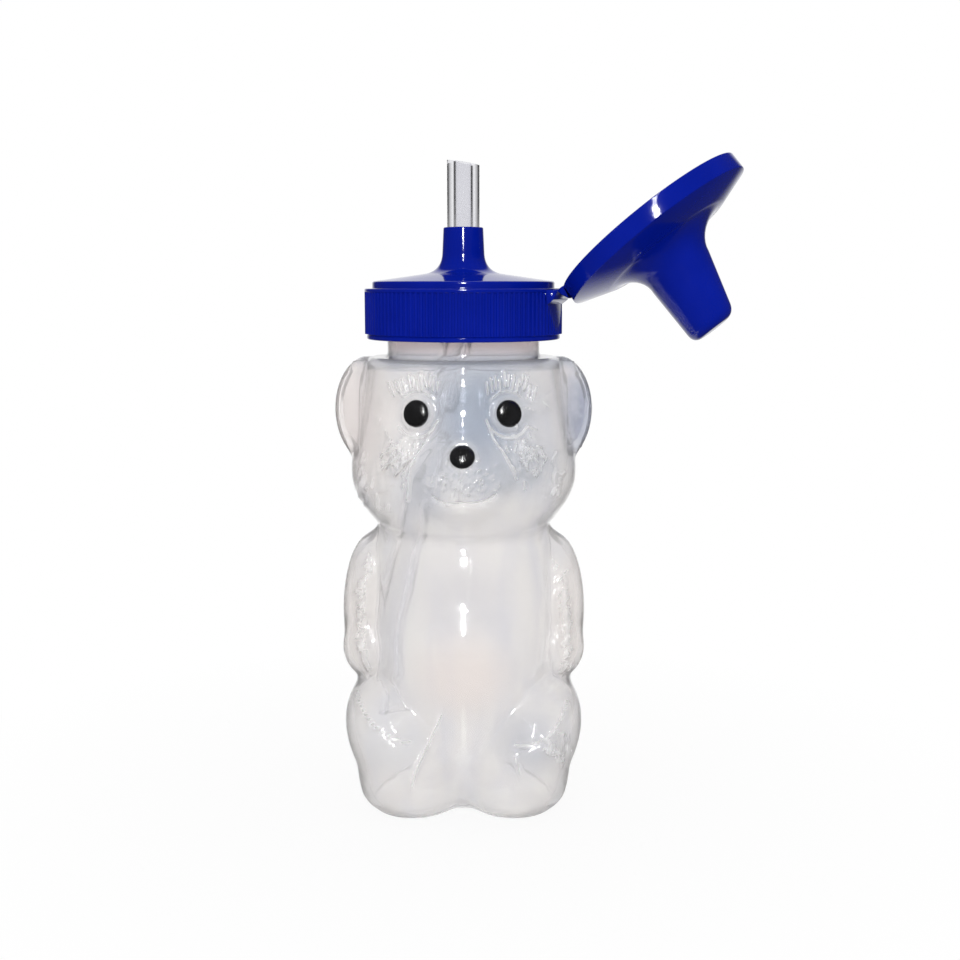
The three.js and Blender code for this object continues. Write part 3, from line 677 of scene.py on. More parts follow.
def neck_rings(ring, crown, angles):
    """Rings from the crown's edge over the shoulder and up the threaded neck to its rim."""
    foot = NECK_RADIUS + NECK_FILLET
    rings = [ring(crown + share * (foot - crown), HEAD_TOP) for share in (0.15, 0.4, 0.7, 0.9, 1)]
    rings += [ring(NECK_RADIUS + NECK_FILLET * end, HEAD_TOP + NECK_FILLET * start) for start, end in CORNER]
    neck = np.arange(HEAD_TOP + NECK_FILLET + NECK_STEP, NECK_TOP - RIM_ROUND, NECK_STEP)
    rings += [ring(NECK_RADIUS + out, z) for out, z in zip(thread_height(angles, neck), neck)]
    rings += [ring(NECK_RADIUS - RIM_ROUND * start, NECK_TOP - RIM_ROUND * end) for start, end in CORNER]
    return rings


def lining_rings(ring, lining, heights):
    """Rings of half as many points, down the bore and the inner wall to the bottle's floor."""
    lining[..., 2] = np.maximum(lining[..., 2], WALL)
    below_crown, above_floor = CROWN_START - 0.5, 2.4
    rows = range(len(heights) - 1, 3, -LINING_ROW_STEP)
    rows = [i for i in rows if above_floor < heights[i] < below_crown]
    rings = [ring(NECK_BORE + RIM_ROUND * end, NECK_TOP - RIM_ROUND * start) for start, end in CORNER]
    ceiling = HEAD_TOP - WALL
    rings += [ring(NECK_BORE, z) for z in np.linspace(NECK_TOP - 3, ceiling + BORE_FOOT_ROUND, 6)]
    bore_foot = ring(NECK_BORE + BORE_FOOT_ROUND, ceiling)
    shelf = lining[rows[0]].copy()
    shelf[:, 2] = ceiling
    rings += [bore_foot + share * (shelf - bore_foot) for share in (0, 0.35, 0.7, 0.93)]
    rings += [lining[i] for i in rows]
    floor = lining[rows[-1]].copy()
    floor[:, 2] = WALL
    rings += [floor * (share, share, 1) for share in (0.96, 0.7, 0.4, 0.1)]
    return [r[::2] for r in rings]


def bottle_shell(material):
    angles, heights = column_angles(), side_heights()
    radius, muzzle_stands = skin_radius(angles, heights)
    way = np.stack([np.sin(angles), -np.cos(angles)], axis=1)

    def ring(r, z):
        return np.column_stack([way * np.broadcast_to(r, len(way))[:, None], np.broadcast_to(z, len(way))])

    plain = np.stack([ring(r, z) for r, z in zip(radius, heights)])
    normals = outward(plain)
    relief, frost = moulded_relief(plain, muzzle_stands)
    relief *= (smooth_step(*BASE_FADE, heights) * smooth_step(HEAD_TOP, CROWN_START, heights))[:, None]
    rings = [ring(radius[0] * share, 0) for share in (0.02, 0.3, 0.6, 0.85, 0.97)]
    first = len(rings) * SKIN_COLUMNS
    rings += list(plain + normals * relief[..., None])
    rings += neck_rings(ring, radius[-1], angles)
    inner = lining_rings(ring, plain - normals * WALL, heights)

    points, numbers = numbered(rings + inner)
    outer, inside = numbers[: len(rings)], numbers[len(rings):]
    faces = ring_faces(outer) + ring_faces(inside)
    a, b, c = outer[-1][0::2], outer[-1][1::2], np.roll(outer[-1][0::2], -1)
    d, e = inside[0], np.roll(inside[0], -1)
    faces += np.stack([a, b, d], axis=1).tolist() + np.stack([b, c, e, d], axis=1).tolist()
    faces.append(outer[0][::-1].tolist())
    faces.append(inside[-1].tolist())
    frosted = np.zeros(len(points))
    frosted[first:first + frost.size] = frost.ravel()
    return make_piece("bottle_shell", points, faces, material, frost=frosted)


def dome(name, seat, facing, radius, height, material):
    """A glossy painted dome that sits on the face."""
    outline = [(0, -DOME_SINK), (radius * 0.6, -DOME_SINK), (radius * 0.93, 0), (radius, DOME_EDGE)]
    for t in np.linspace(0, math.pi / 2, 12)[1:]:
        outline.append((radius * math.cos(t), DOME_EDGE + (height - DOME_EDGE) * math.sin(t)))
    points, faces = turned(outline, SMALL_COLUMNS)
    x_axis = np.cross([0, 0, 1], facing)
    x_axis /= np.linalg.norm(x_axis)
    y_axis = np.cross(facing, x_axis)
    placed = seat + points[:, :1] * x_axis + points[:, 1:2] * y_axis + points[:, 2:] * facing
    return make_piece(name, placed, faces, material)


# Lid


def hinge_cutter(radius, depth, deep, shallow):
    """Wedge that cuts a flat, full depth at one height and running out at another, in the hinge's frame."""
    beyond = deep + math.copysign(1.6, deep - shallow)
    flat, edge, far = radius - depth, radius + 0.02, radius + 4
    section = [(flat, beyond), (flat, deep), (edge, shallow), (far, shallow), (far, beyond)]
    if deep < shallow:
        section = section[::-1]
    wide = 1.1 * radius
    points = [(r, y, z) for y in (-wide, wide) for r, z in section]
    count = len(section)
    faces = [list(range(count)), list(range(2 * count - 1, count - 1, -1))]
    faces += [[(i + 1) % count, i, i + count, (i + 1) % count + count] for i in range(count)]
    return np.array(points), faces


def lid_outline():
    """Section of the lid from the spout's bore down its inside and up its outside."""
    return rounded([
        (SPOUT_BORE, SPOUT_TOP, 0.25), (SPOUT_BORE, 123.9, 0.8), (6.7, 121.1, 0.8), (15.65, DECK_UNDER, 0.2),
        (SLEEVE_INNER, DECK_UNDER, 0.3), (SLEEVE_INNER, SLEEVE_FOOT, 0.3), (SLEEVE_OUTER, SLEEVE_FOOT, 0.3),
        (SLEEVE_OUTER, SKIRT_ROOF, 0.2), (SKIRT_INNER, SKIRT_ROOF, 0.2), (SKIRT_INNER, LID_FOOT, 0.2),
        (FOOT_BAND_RADIUS, LID_FOOT, 0.45), (FOOT_BAND_RADIUS, 108.55, 0.1), (22.05, 108.75, 0.1),
        (RIB_VALLEY, RIB_FOOT, 0.1), (RIB_VALLEY, RIB_TOP - 0.3, 0.1), (TOP_BAND_RADIUS, RIB_TOP, 0.15),
        (TOP_BAND_RADIUS, SHOULDER, 0.35), (DECK_RADIUS, SHOULDER, 0.25), (DECK_RADIUS, DECK_EDGE, 0.55),
        (*SPOUT_FOOT, 5.0), (SPOUT_RADIUS, SPOUT_TOP, 0.45),
    ])


def rib_tree():
    """Geometry Nodes tree that sets upright half-round ribs in a ring."""
    tree = bpy.data.node_groups.new("skirt_ribs", "GeometryNodeTree")
    face = tree.interface
    face.new_socket("Geometry", in_out="INPUT", socket_type="NodeSocketGeometry")
    face.new_socket("Rib count", in_out="INPUT", socket_type="NodeSocketInt")
    for name in ("Ring radius", "Rib radius", "Rib height", "Middle height"):
        face.new_socket(name, in_out="INPUT", socket_type="NodeSocketFloat")
    face.new_socket("Finish", in_out="INPUT", socket_type="NodeSocketMaterial")
    face.new_socket("Geometry", in_out="OUTPUT", socket_type="NodeSocketGeometry")
    nodes = tree.nodes
    sizes, out = nodes.new("NodeGroupInput"), nodes.new("NodeGroupOutput")
    ring, rib = nodes.new("GeometryNodeMeshCircle"), nodes.new("GeometryNodeMeshCylinder")
    place, lift = nodes.new("GeometryNodeInstanceOnPoints"), nodes.new("GeometryNodeTransform")
    height = nodes.new("ShaderNodeCombineXYZ")
    real, paint = nodes.new("GeometryNodeRealizeInstances"), nodes.new("GeometryNodeSetMaterial")
    rib.inputs["Vertices"].default_value = RIB_SIDES
    for node, result, user, socket in (
        (sizes, "Rib count", ring, "Vertices"),
        (sizes, "Ring radius", ring, "Radius"),
        (sizes, "Rib radius", rib, "Radius"),
        (sizes, "Rib height", rib, "Depth"),
        (sizes, "Middle height", height, "Z"),
        (ring, "Mesh", place, "Points"),
        (rib, "Mesh", place, "Instance"),
        (place, "Instances", lift, "Geometry"),
        (height, "Vector", lift, "Translation"),
        (lift, "Geometry", real, "Geometry"),
        (real, "Geometry", paint, "Geometry"),
        (sizes, "Finish", paint, "Material"),
        (paint, "Geometry", out, "Geometry"),
    ):
        tree.links.new(node.outputs[result], user.inputs[socket])
    return tree


def skirt_ribs(material):
    obj = bpy.data.objects.new("skirt_ribs", bpy.data.meshes.new("skirt_ribs"))
    bpy.context.scene.collection.objects.link(obj)
    tree = rib_tree()
    made = obj.modifiers.new("ribs", "NODES")
    made.node_group = tree
    values = {
        "Rib count": RIB_COUNT,
        "Ring radius": (LID_RADIUS - RIB_RADIUS) * MM,
        "Rib radius": RIB_RADIUS * MM,
        "Rib height": (RIB_TOP - RIB_FOOT) * MM,
        "Middle height": (RIB_TOP + RIB_FOOT) / 2 * MM,
        "Finish": material,
    }
    for item in tree.interface.items_tree:
        if item.in_out == "INPUT" and item.name in values:
            made[item.identifier] = values[item.name]
    plain_mesh(obj)
    return obj


def lid_pieces(material):
    points, faces = turned(lid_outline(), LID_COLUMNS)
    lid = make_piece("lid_moulding", points, faces, material, CRISP_MOULDING)
    ribs = skirt_ribs(material)
    for piece, deeper in ((lid, 0), (ribs, RIB_CUT_DEEPER)):
        points, faces = hinge_cutter(LID_RADIUS - deeper, LID_FLAT_DEPTH, SHOULDER, RIB_FOOT)
        cut_away(piece, turn_about_z(points, HINGE_AZIMUTH), faces)
        finish_mesh(piece.data, material, CRISP_CUT)
    return lid, ribs


# Cap, hinge, straw and seal


def cap_outline():
    """Section of the closed cap, up its outside and down its inside."""

    def flare(turn, inset):
        radius = CONE_FOOT - (CONE_FOOT - CONE_BASE) * math.sin(turn)
        return radius - inset, DISC_TOP + CONE_FLARE * (1 - math.cos(turn)) - inset, 0

    turns = np.linspace(0, math.pi / 2, 12)
    outside = [(CAP_RADIUS, CAP_MOUTH, 0.25), (CAP_RADIUS, DISC_EDGE - 0.7, 0.3)]
    outside += [flare(t, 0) for t in turns]
    outside += [(CONE_TIP, CAP_TIP, 2.8), (0, CAP_TIP, 0)]
    inside = [(0, CAP_TIP - CAP_SHELL, 0), (CONE_TIP - CAP_SHELL, CAP_TIP - CAP_SHELL, 1.4)]
    inside += [flare(t, CAP_SHELL) for t in turns[::-1]]
    inside += [(CAP_INNER, DISC_EDGE - 1.7, 0.8), (CAP_INNER, CAP_MOUTH, 0.3)]
    return rounded(outside + inside)


def flip_cap(material):
    points, faces = turned(cap_outline(), CAP_COLUMNS)
    points[:, 0] += CONE_LEAN * np.maximum(0, points[:, 2] - DISC_TOP)
    cap = make_piece("flip_cap_moulding", swing_open(points), faces, material, CRISP_MOULDING)
    points, faces = hinge_cutter(CAP_RADIUS, CAP_FLAT_DEPTH, CAP_MOUTH, DISC_EDGE)
    cut_away(cap, swing_open(points), faces)
    finish_mesh(cap.data, material, CRISP_CUT)
    return cap


# Upper and lower corners of the hinge strap's sections, from the lid's flat to the fold, and from the closed
# cap's flat to the fold
STRAP_ON_LID = [
    ((21.33, 118.95), (21.68, 115.7)),
    ((22.3, 118.98), (22.9, 116.6)),
    ((23.1, 119.0), (23.5, 117.6)),
    ((23.5, 119.08), (23.75, 118.45)),
    ((23.72, 119.13), (23.82, 118.72)),
]
STRAP_ON_CAP = [
    ((21.95, 119.3), (22.62, 122.3)),
    ((22.4, 119.25), (23.1, 121.4)),
    ((22.95, 119.2), (23.55, 120.4)),
    ((23.4, 119.15), (23.75, 119.6)),
]
# Half-width at each of those sections, as a share of the strap's width
STRAP_HALF_SHARES = [0.5, 0.5, 0.49, 0.46, 0.45, 0.46, 0.49, 0.5, 0.5]
STRAP_STEPS = 41


def hinge_strap(material):
    """The living hinge: a wedge on each flat that runs down to a thin fold between them."""
    pairs = [turn_about_z([(r, 0, z) for r, z in pair], HINGE_AZIMUTH) for pair in STRAP_ON_LID]
    pairs += [swing_open([(r, 0, z) for r, z in pair]) for pair in STRAP_ON_CAP[::-1]]
    pairs = np.array(pairs)
    knots = np.arange(len(pairs))
    shares = np.linspace(0, len(pairs) - 1, STRAP_STEPS)

    def edge(i):
        line = np.stack([np.interp(shares, knots, pairs[:, i, k]) for k in range(3)], axis=1)
        for _ in range(2):
            line[1:-1] = (line[:-2] + 2 * line[1:-1] + line[2:]) / 4
        return line

    wide = STRAP_WIDTH * np.interp(shares, knots, STRAP_HALF_SHARES)
    across = turn_about_z([(0, 1, 0)], HINGE_AZIMUTH)[0]
    corners = [(-1, 0.12), (-0.97, 0), (0.97, 0), (1, 0.12), (1, 0.88), (0.97, 1), (-0.97, 1), (-1, 0.88)]
    rings = []
    for upper, lower, half in zip(edge(0), edge(1), wide):
        rings.append(np.array([upper + b * (lower - upper) + a * half * across for a, b in corners]))
    points, numbers = numbered(rings)
    faces = ring_faces(numbers) + [numbers[0][::-1].tolist(), numbers[-1].tolist()]
    strap = make_piece("hinge_strap", points, faces, material, CRISP_MOULDING)
    face_outward(strap.data)
    return strap


def straw_line(samples):
    """The source's own curve through the straw's route."""
    corners = np.array(STRAW_ROUTE, float)
    last = len(corners) - 1
    out = []
    for share in np.linspace(0, last, samples):
        i = min(int(share), last - 1)
        p1, p2 = corners[i], corners[i + 1]
        p0 = corners[i - 1] if i > 0 else 2 * p1 - p2
        p3 = corners[i + 2] if i + 2 <= last else 2 * p2 - p1
        d0, d1, d2 = (math.sqrt(np.linalg.norm(q - p)) for p, q in ((p0, p1), (p1, p2), (p2, p3)))
        v1 = d1 * ((p1 - p0) / d0 - (p2 - p0) / (d0 + d1) + (p2 - p1) / d1)
        v2 = d1 * ((p2 - p1) / d1 - (p3 - p1) / (d1 + d2) + (p3 - p2) / d2)
        out.append(cubic(p1, p2, v1, v2, share - i))
    return np.array(out)


def drinking_straw(material):
    line = straw_line(STRAW_SAMPLES)
    ahead = np.gradient(line, axis=0)
    ahead /= np.linalg.norm(ahead, axis=1, keepdims=True)
    side = np.cross(ahead, [0, 1, 0])
    side /= np.linalg.norm(side, axis=1, keepdims=True)
    other = np.cross(ahead, side)
    angles = np.linspace(0, 2 * math.pi, SMALL_COLUMNS, endpoint=False)

    def ring(i, radius):
        return line[i] + radius * (np.cos(angles)[:, None] * side[i] + np.sin(angles)[:, None] * other[i])

    outer = [ring(i, STRAW_RADIUS) for i in range(len(line))]
    bore = [ring(i, STRAW_BORE) for i in range(len(line))]
    rings = outer + bore[::-1]
    for r in rings:
        near_top = smooth_step(STRAW_TOP - STRAW_CUT_REACH, STRAW_TOP, r[:, 2])
        r[:, 2] -= near_top * STRAW_CUT_SLOPE * (r[:, 0] + STRAW_RADIUS)
    points, numbers = numbered(rings)
    straw = make_piece("drinking_straw", points, ring_faces(numbers + numbers[:1]), material, CRISP_STRAW)
    face_outward(straw.data)
    return straw


def seal_ring(material):
    (inner, outer), (foot, top) = SEAL_RADII, SEAL_HEIGHTS
    corners = [(inner, foot), (outer, foot), (outer, top), (inner, top)]
    outline = rounded([(*corner, SEAL_ROUND) for corner in corners])
    points, faces = turned(outline, SEAL_COLUMNS)
    return make_piece("seal_liner", points, faces, material)


# Nodes


def connect(tree, value, socket):
    """Links an output socket to an input, or sets the input's own value."""
    if isinstance(value, bpy.types.NodeSocket):
        tree.links.new(value, socket)
    else:
        socket.default_value = value


def add_node(tree, kind, **values):
    """A node with its properties and inputs set. An underscore stands for a space in an input's name."""
    node = tree.nodes.new(kind)
    for name, value in values.items():
        socket = name.replace("_", " ")
        if socket in node.inputs:
            connect(tree, value, node.inputs[socket])
        else:
            setattr(node, name, value)
    return node


def maths(tree, operation, first, second, clamp=False):
    node = add_node(tree, "ShaderNodeMath", operation=operation, use_clamp=clamp)
    connect(tree, first, node.inputs[0])
    connect(tree, second, node.inputs[1])
    return node.outputs[0]


def vector_maths(tree, operation, *values):
    node = add_node(tree, "ShaderNodeVectorMath", operation=operation)
    for value, socket in zip(values, node.inputs):
        connect(tree, value, socket)
    return node.outputs["Value" if operation == "LENGTH" else "Vector"]


def ranged(tree, value, start, end, low=0.0, high=1.0, kind="LINEAR"):
    """A value's place between start and end, spread from low to high."""
    node = add_node(tree, "ShaderNodeMapRange", interpolation_type=kind, Value=value,
                    From_Min=start, From_Max=end, To_Min=low, To_Max=high)
    return node.outputs["Result"]


def mixed(tree, share, first, second):
    """A mix of two values."""
    return add_node(tree, "ShaderNodeMix", Factor=share, A=first, B=second).outputs["Result"]


def mixed_colour(tree, share, first, second):
    """A mix of two colours, each a colour or an output socket."""
    mix = add_node(tree, "ShaderNodeMix", data_type="RGBA", Factor=share)
    connect(tree, first, mix.inputs[6])
    connect(tree, second, mix.inputs[7])
    return mix.outputs[2]


def new_group(name, vectors, values, results):
    """A shader node group with vector and value inputs and value outputs, and the sockets inside it."""
    tree = bpy.data.node_groups.new(name, "ShaderNodeTree")
    ends = ("INPUT", "Vector", vectors), ("INPUT", "Float", values), ("OUTPUT", "Float", results)
    for way, kind, sockets in ends:
        for socket in sockets:
            tree.interface.new_socket(socket, in_out=way, socket_type=f"NodeSocket{kind}")
    return tree, tree.nodes.new("NodeGroupInput").outputs, tree.nodes.new("NodeGroupOutput").inputs


def new_material(name):
    material = bpy.data.materials.new(name)
    material.use_nodes = True
    tree = material.node_tree
    return material, tree, tree.nodes["Principled BSDF"]


def set_shader(tree, shader, values):
    """Sets or links a shader's inputs by name."""
    for name, value in values.items():
        connect(tree, value, shader.inputs[name])


def object_place(tree):
    return add_node(tree, "ShaderNodeTexCoord").outputs["Object"]


# Finishes


def moulded_grain():
    """Group: slow waves and fine speckle of a moulded plastic skin."""
    values = ["Wave scale", "Speckle scale", "Speckle share"]
    tree, given, out = new_group("moulded_grain", ["Vector"], values, ["Height", "Mottle"])
    place = given["Vector"]
    wave = add_node(tree, "ShaderNodeTexNoise", Vector=place, Scale=given["Wave scale"], Detail=2.0)
    speckle = add_node(tree, "ShaderNodeTexNoise", Vector=place, Scale=given["Speckle scale"], Detail=3.0)
    height = mixed(tree, given["Speckle share"], wave.outputs["Fac"], speckle.outputs["Fac"])
    tree.links.new(height, out["Height"])
    tree.links.new(ranged(tree, wave.outputs["Fac"], 0.3, 0.7), out["Mottle"])
    return tree


def grained(tree, grain, scales, bump, colours, roughness):
    """Shader inputs that the grain gives: two mottled colours, a range of roughness and a bump."""
    wave, speckle, share = scales
    group = add_node(tree, "ShaderNodeGroup", node_tree=grain, Vector=object_place(tree),
                     Wave_scale=wave, Speckle_scale=speckle, Speckle_share=share)
    height = group.outputs["Height"]
    raised = add_node(tree, "ShaderNodeBump", Height=height, Strength=bump[0], Distance=bump[1])
    return {
        "Base Color": mixed_colour(tree, group.outputs["Mottle"], *colours),
        "Roughness": ranged(tree, height, 0.0, 1.0, *roughness),
        "Normal": raised.outputs["Normal"],
    }


# Grain of each finish: scales of the wave and the speckle with the speckle's share, the bump's strength and
# distance, two colours and a range of roughness
MILKY_GRAIN = (
    (45.0, 700.0, 0.25), (0.2, 0.0004), ((0.985, 0.965, 0.958, 1), (1.0, 0.982, 0.97, 1)), (0.07, 0.14)
)
BLUE_GRAIN = (
    (70.0, 1400.0, 0.35), (0.12, 0.0003), ((0.0005, 0.006, 0.17, 1), (0.0007, 0.0075, 0.21, 1)), (0.04, 0.14)
)
BLACK_GRAIN = (
    (420.0, 2600.0, 0.4), (0.5, 0.0004), ((0.004, 0.004, 0.004, 1), (0.009, 0.009, 0.01, 1)), (0.08, 0.24)
)
CLEAR_GRAIN = (
    (60.0, 900.0, 0.2), (0.06, 0.0003), ((0.84, 0.84, 0.87, 1), (0.88, 0.88, 0.91, 1)), (0.0, 0.04)
)
FOAM_GRAIN = (
    (500.0, 2400.0, 0.6), (0.6, 0.0006), ((0.78, 0.78, 0.76, 1), (0.88, 0.88, 0.86, 1)), (0.6, 0.85)
)
STRAW_PAINTED_LIGHT = (0.965, 0.965, 0.975, 1)  # painted light: colour of the straw inside the bottle, paler than above the lid
# Soft painted shade and painted light on the milky plastic: blue-grey shade on the head, ears, chest and
# thighs, warm glow on the belly, arms, head's side and neck, white round the eyes and nose. Middle, reach,
# most and colour
PAINTED_LIGHT_AND_SHADE = [
    ((4, -22, 92), (17, 60, 20), 1.0, (0.54, 0.59, 0.68)),
    ((9, -22, 80), (18, 60, 9), 0.75, (0.67, 0.70, 0.76)),
    ((-8, -22, 77), (8, 60, 12), 0.5, (0.73, 0.76, 0.82)),
    ((29, 0, 90), (9, 60, 18), 0.9, (0.60, 0.63, 0.73)),
    ((0, 0, 103.5), (60, 60, 3), 0.7, (0.68, 0.72, 0.80)),
    ((15, -22, 19), (11, 60, 10), 0.9, (0.78, 0.79, 0.83)),
    ((-15, -22, 19), (11, 60, 10), 0.5, (0.88, 0.89, 0.92)),
    ((0, -22, 49), (16, 60, 14), 0.6, (0.855, 0.845, 0.865)),
    ((0, -22, 34), (15, 34, 13), 0.95, (1.0, 0.94, 0.91)),
    ((26, -6, 45), (9, 60, 22), 0.8, (1.0, 0.965, 0.945)),
    ((-26, -6, 45), (9, 60, 22), 0.8, (1.0, 0.965, 0.945)),
    ((-25, -6, 88), (14, 60, 24), 0.9, (1.0, 0.955, 0.94)),
    ((0, 0, 107.8), (60, 60, 5), 1.0, (0.98, 0.89, 0.895)),
    ((10, -20, 92.3), (4.8, 30, 4.8), 1.0, (0.99, 0.99, 0.99)),
    ((-10, -20, 92.3), (4.8, 30, 4.8), 1.0, (0.99, 0.99, 0.99)),
    ((0, -27, 83.4), (4.4, 30, 4.4), 1.0, (0.99, 0.99, 0.99)),
]
TINT_CORE = 0.2  # share of its reach inside which a tint is full
# Streaks that the plastic keeps from being blown: scale, noise range, most and colour
STREAK_SCALE = (190, 190, 34)
STREAK_RANGE = (0.45, 0.72)
STREAK_MOST = 0.6
STREAK_TINT = (0.86, 0.87, 0.93, 1)
# Frosted hairs and lines, with a painted highlight on their crests
FROST_RANGE = (0.08, 0.9)
PAINTED_CREST_HIGHLIGHT = (0.99, 0.985, 0.98, 1)
FROST_ROUGHNESS = 0.42
# Where the moulded fur is finest: middle and reach
FINE_FUR = [
    ((-14.6, -20, 82.5), (5, 40, 7)),
    ((13.8, -20, 82.5), (5, 40, 7)),
    ((1.6, -26, 78.5), (7, 40, 4)),
    ((-22.6, -12, 46), (3, 40, 15)),
    ((22.8, -12, 46), (3, 40, 15)),
    ((20.5, -16, 18), (4, 40, 5)),
]
FUR_SCALE = (1500, 1500, 600)
FUR_STRENGTH = 0.6
FUR_DISTANCE = 0.0006


def soft_patch():
    """Group: a mask that is full at a middle and fades out to an ellipsoid's edge."""
    tree, given, out = new_group("soft_patch", ["Vector", "Middle", "Reach"], ["Most"], ["Mask"])
    off = vector_maths(tree, "SUBTRACT", given["Vector"], given["Middle"])
    far = vector_maths(tree, "LENGTH", vector_maths(tree, "DIVIDE", off, given["Reach"]))
    tree.links.new(ranged(tree, far, 1.0, TINT_CORE, 0.0, given["Most"], "SMOOTHSTEP"), out["Mask"])
    return tree


def placed_patch(tree, patch, place, middle, reach, most):
    return add_node(tree, "ShaderNodeGroup", node_tree=patch, Vector=place, Middle=[c * MM for c in middle],
                    Reach=[r * MM for r in reach], Most=most).outputs["Mask"]


def stretched_noise(tree, place, scale, detail):
    spread = add_node(tree, "ShaderNodeMapping", Vector=place, Scale=scale)
    noise = add_node(tree, "ShaderNodeTexNoise", Vector=spread.outputs["Vector"], Scale=1.0, Detail=detail)
    return noise.outputs["Fac"]


def milky_plastic(grain):
    """Milky translucent skin with streaks, soft painted shade and painted light, frosted hairs and lines with
    a painted highlight, and fine fur.
    """
    material, tree, shader = new_material("milky_skin")
    skin = grained(tree, grain, *MILKY_GRAIN)
    place = object_place(tree)
    patch = soft_patch()
    streaks = ranged(tree, stretched_noise(tree, place, STREAK_SCALE, 3.0), *STREAK_RANGE, 0.0, STREAK_MOST)
    colour = mixed_colour(tree, streaks, skin["Base Color"], STREAK_TINT)
    # Painted shade and painted light laid over the skin's own colour
    for middle, reach, most, tint in PAINTED_LIGHT_AND_SHADE:
        mask = placed_patch(tree, patch, place, middle, reach, most)
        colour = mixed_colour(tree, mask, colour, (*tint, 1))
    frost = add_node(tree, "ShaderNodeAttribute", attribute_name=FROST).outputs["Fac"]
    frost = ranged(tree, frost, *FROST_RANGE)
    furry = None
    for middle, reach in FINE_FUR:
        mask = placed_patch(tree, patch, place, middle, reach, 1.0)
        furry = maths(tree, "MAXIMUM", furry, mask) if furry else mask
    fur = maths(tree, "MULTIPLY", stretched_noise(tree, place, FUR_SCALE, 1.0), furry)
    raised = add_node(tree, "ShaderNodeBump", Height=fur, Normal=skin["Normal"],
                      Strength=FUR_STRENGTH, Distance=FUR_DISTANCE)
    set_shader(tree, shader, {
        # Painted highlight: the frosted hairs and lines turn whiter than the painted shade round them
        "Base Color": mixed_colour(tree, frost, colour, PAINTED_CREST_HIGHLIGHT),
        "Roughness": mixed(tree, frost, skin["Roughness"], FROST_ROUGHNESS),
        "Normal": raised.outputs["Normal"],
        "IOR": 1.36,
        "Transmission Weight": 0.76,
        "Coat Weight": 0.3,
        "Coat Roughness": 0.04,
        "Coat IOR": 1.5,
    })
    return material


def plain_finish(name, grain, look, **values):
    """A grained material. An underscore stands for a space in a shader input's name."""
    material, tree, shader = new_material(name)
    set_shader(tree, shader, grained(tree, grain, *look))
    set_shader(tree, shader, {key.replace("_", " "): value for key, value in values.items()})
    return material


def clear_plastic(grain):
    """Clear tube, with painted light that makes it paler inside the bottle than above the lid."""
    material, tree, shader = new_material("clear_tube")
    skin = grained(tree, grain, *CLEAR_GRAIN)
    height = add_node(tree, "ShaderNodeSeparateXYZ", Vector=object_place(tree)).outputs["Z"]
    paler_inside = ranged(tree, height, SHOULDER * MM, HEAD_TOP * MM, kind="SMOOTHSTEP")
    # Painted light: the straw is paler inside the bottle
    skin["Base Color"] = mixed_colour(tree, paler_inside, skin["Base Color"], STRAW_PAINTED_LIGHT)
    set_shader(tree, shader, {**skin, "IOR": 1.45, "Transmission Weight": 1.0})
    return material


# Stage

ROOM_LEVEL = 1.0
FRONT_LEVEL = 0.05
LOW_LEVEL = 0.5
# Where the white behind the cup begins and is full, as the cosine of the bearing from straight behind
WHITE_REFLECTED = (0.84, 0.99)
WHITE_THROUGH = (0.5, 0.95)
WHITE_LOW = (0.0, 0.65)  # seen through, under the horizon
HORIZON_SOFTNESS = 0.06
FLOOR_CORNERS = [(-1500, -200), (1500, -200), (1500, 1500), (-1500, 1500)]
FLOOR_HEIGHT = -0.05
FLOOR_START = 60  # the floor's bearings are taken from this far in front of the cup's axis
SHADE_REACH = (20, 140)  # the floor shows more of the cup's shadow close to it
SHADE_SHARE = (0.93, 1.0)
# Name, place, size and watts of each lamp, in metres
LAMPS = [
    ("front_window", (0, -0.57, 0.295), (0.055, 0.13), 2.0),
    ("front_strip", (0, -0.47, 0.44), (0.02, 0.2), 0.6),
]
LAMP_AIM = (0, 0, 0.07)
# Camera, with its focal length in the photograph's pixels
PHOTO_WIDTH = 960
FOCAL_PIXELS = 1400
SENSOR_WIDTH = 36
CAMERA_PITCH = math.radians(8.05)
CAMERA_DISTANCE = 327.5
CAMERA_ASIDE = 3.8
CAMERA_AIM_HEIGHT = 74.8


def white_side():
    """Group: white where the place lies behind the cup, falling to a dim level at its sides and in front."""
    tree, given, out = new_group("white_side", ["Vector"], ["Begins", "Full", "Dim"], ["Level"])
    bearing = vector_maths(tree, "NORMALIZE", vector_maths(tree, "MULTIPLY", given["Vector"], (1, 1, 0)))
    way = add_node(tree, "ShaderNodeSeparateXYZ", Vector=bearing).outputs["Y"]
    level = ranged(tree, way, given["Begins"], given["Full"], given["Dim"], 1.0, "SMOOTHSTEP")
    tree.links.new(level, out["Level"])
    return tree


def white_behind(tree, group, place, bearings, dim=FRONT_LEVEL):
    """Level at a place, with the bearings at which the white begins and is full."""
    begins, full = bearings
    node = add_node(tree, "ShaderNodeGroup", node_tree=group, Vector=place, Begins=begins, Full=full, Dim=dim)
    return node.outputs["Level"]


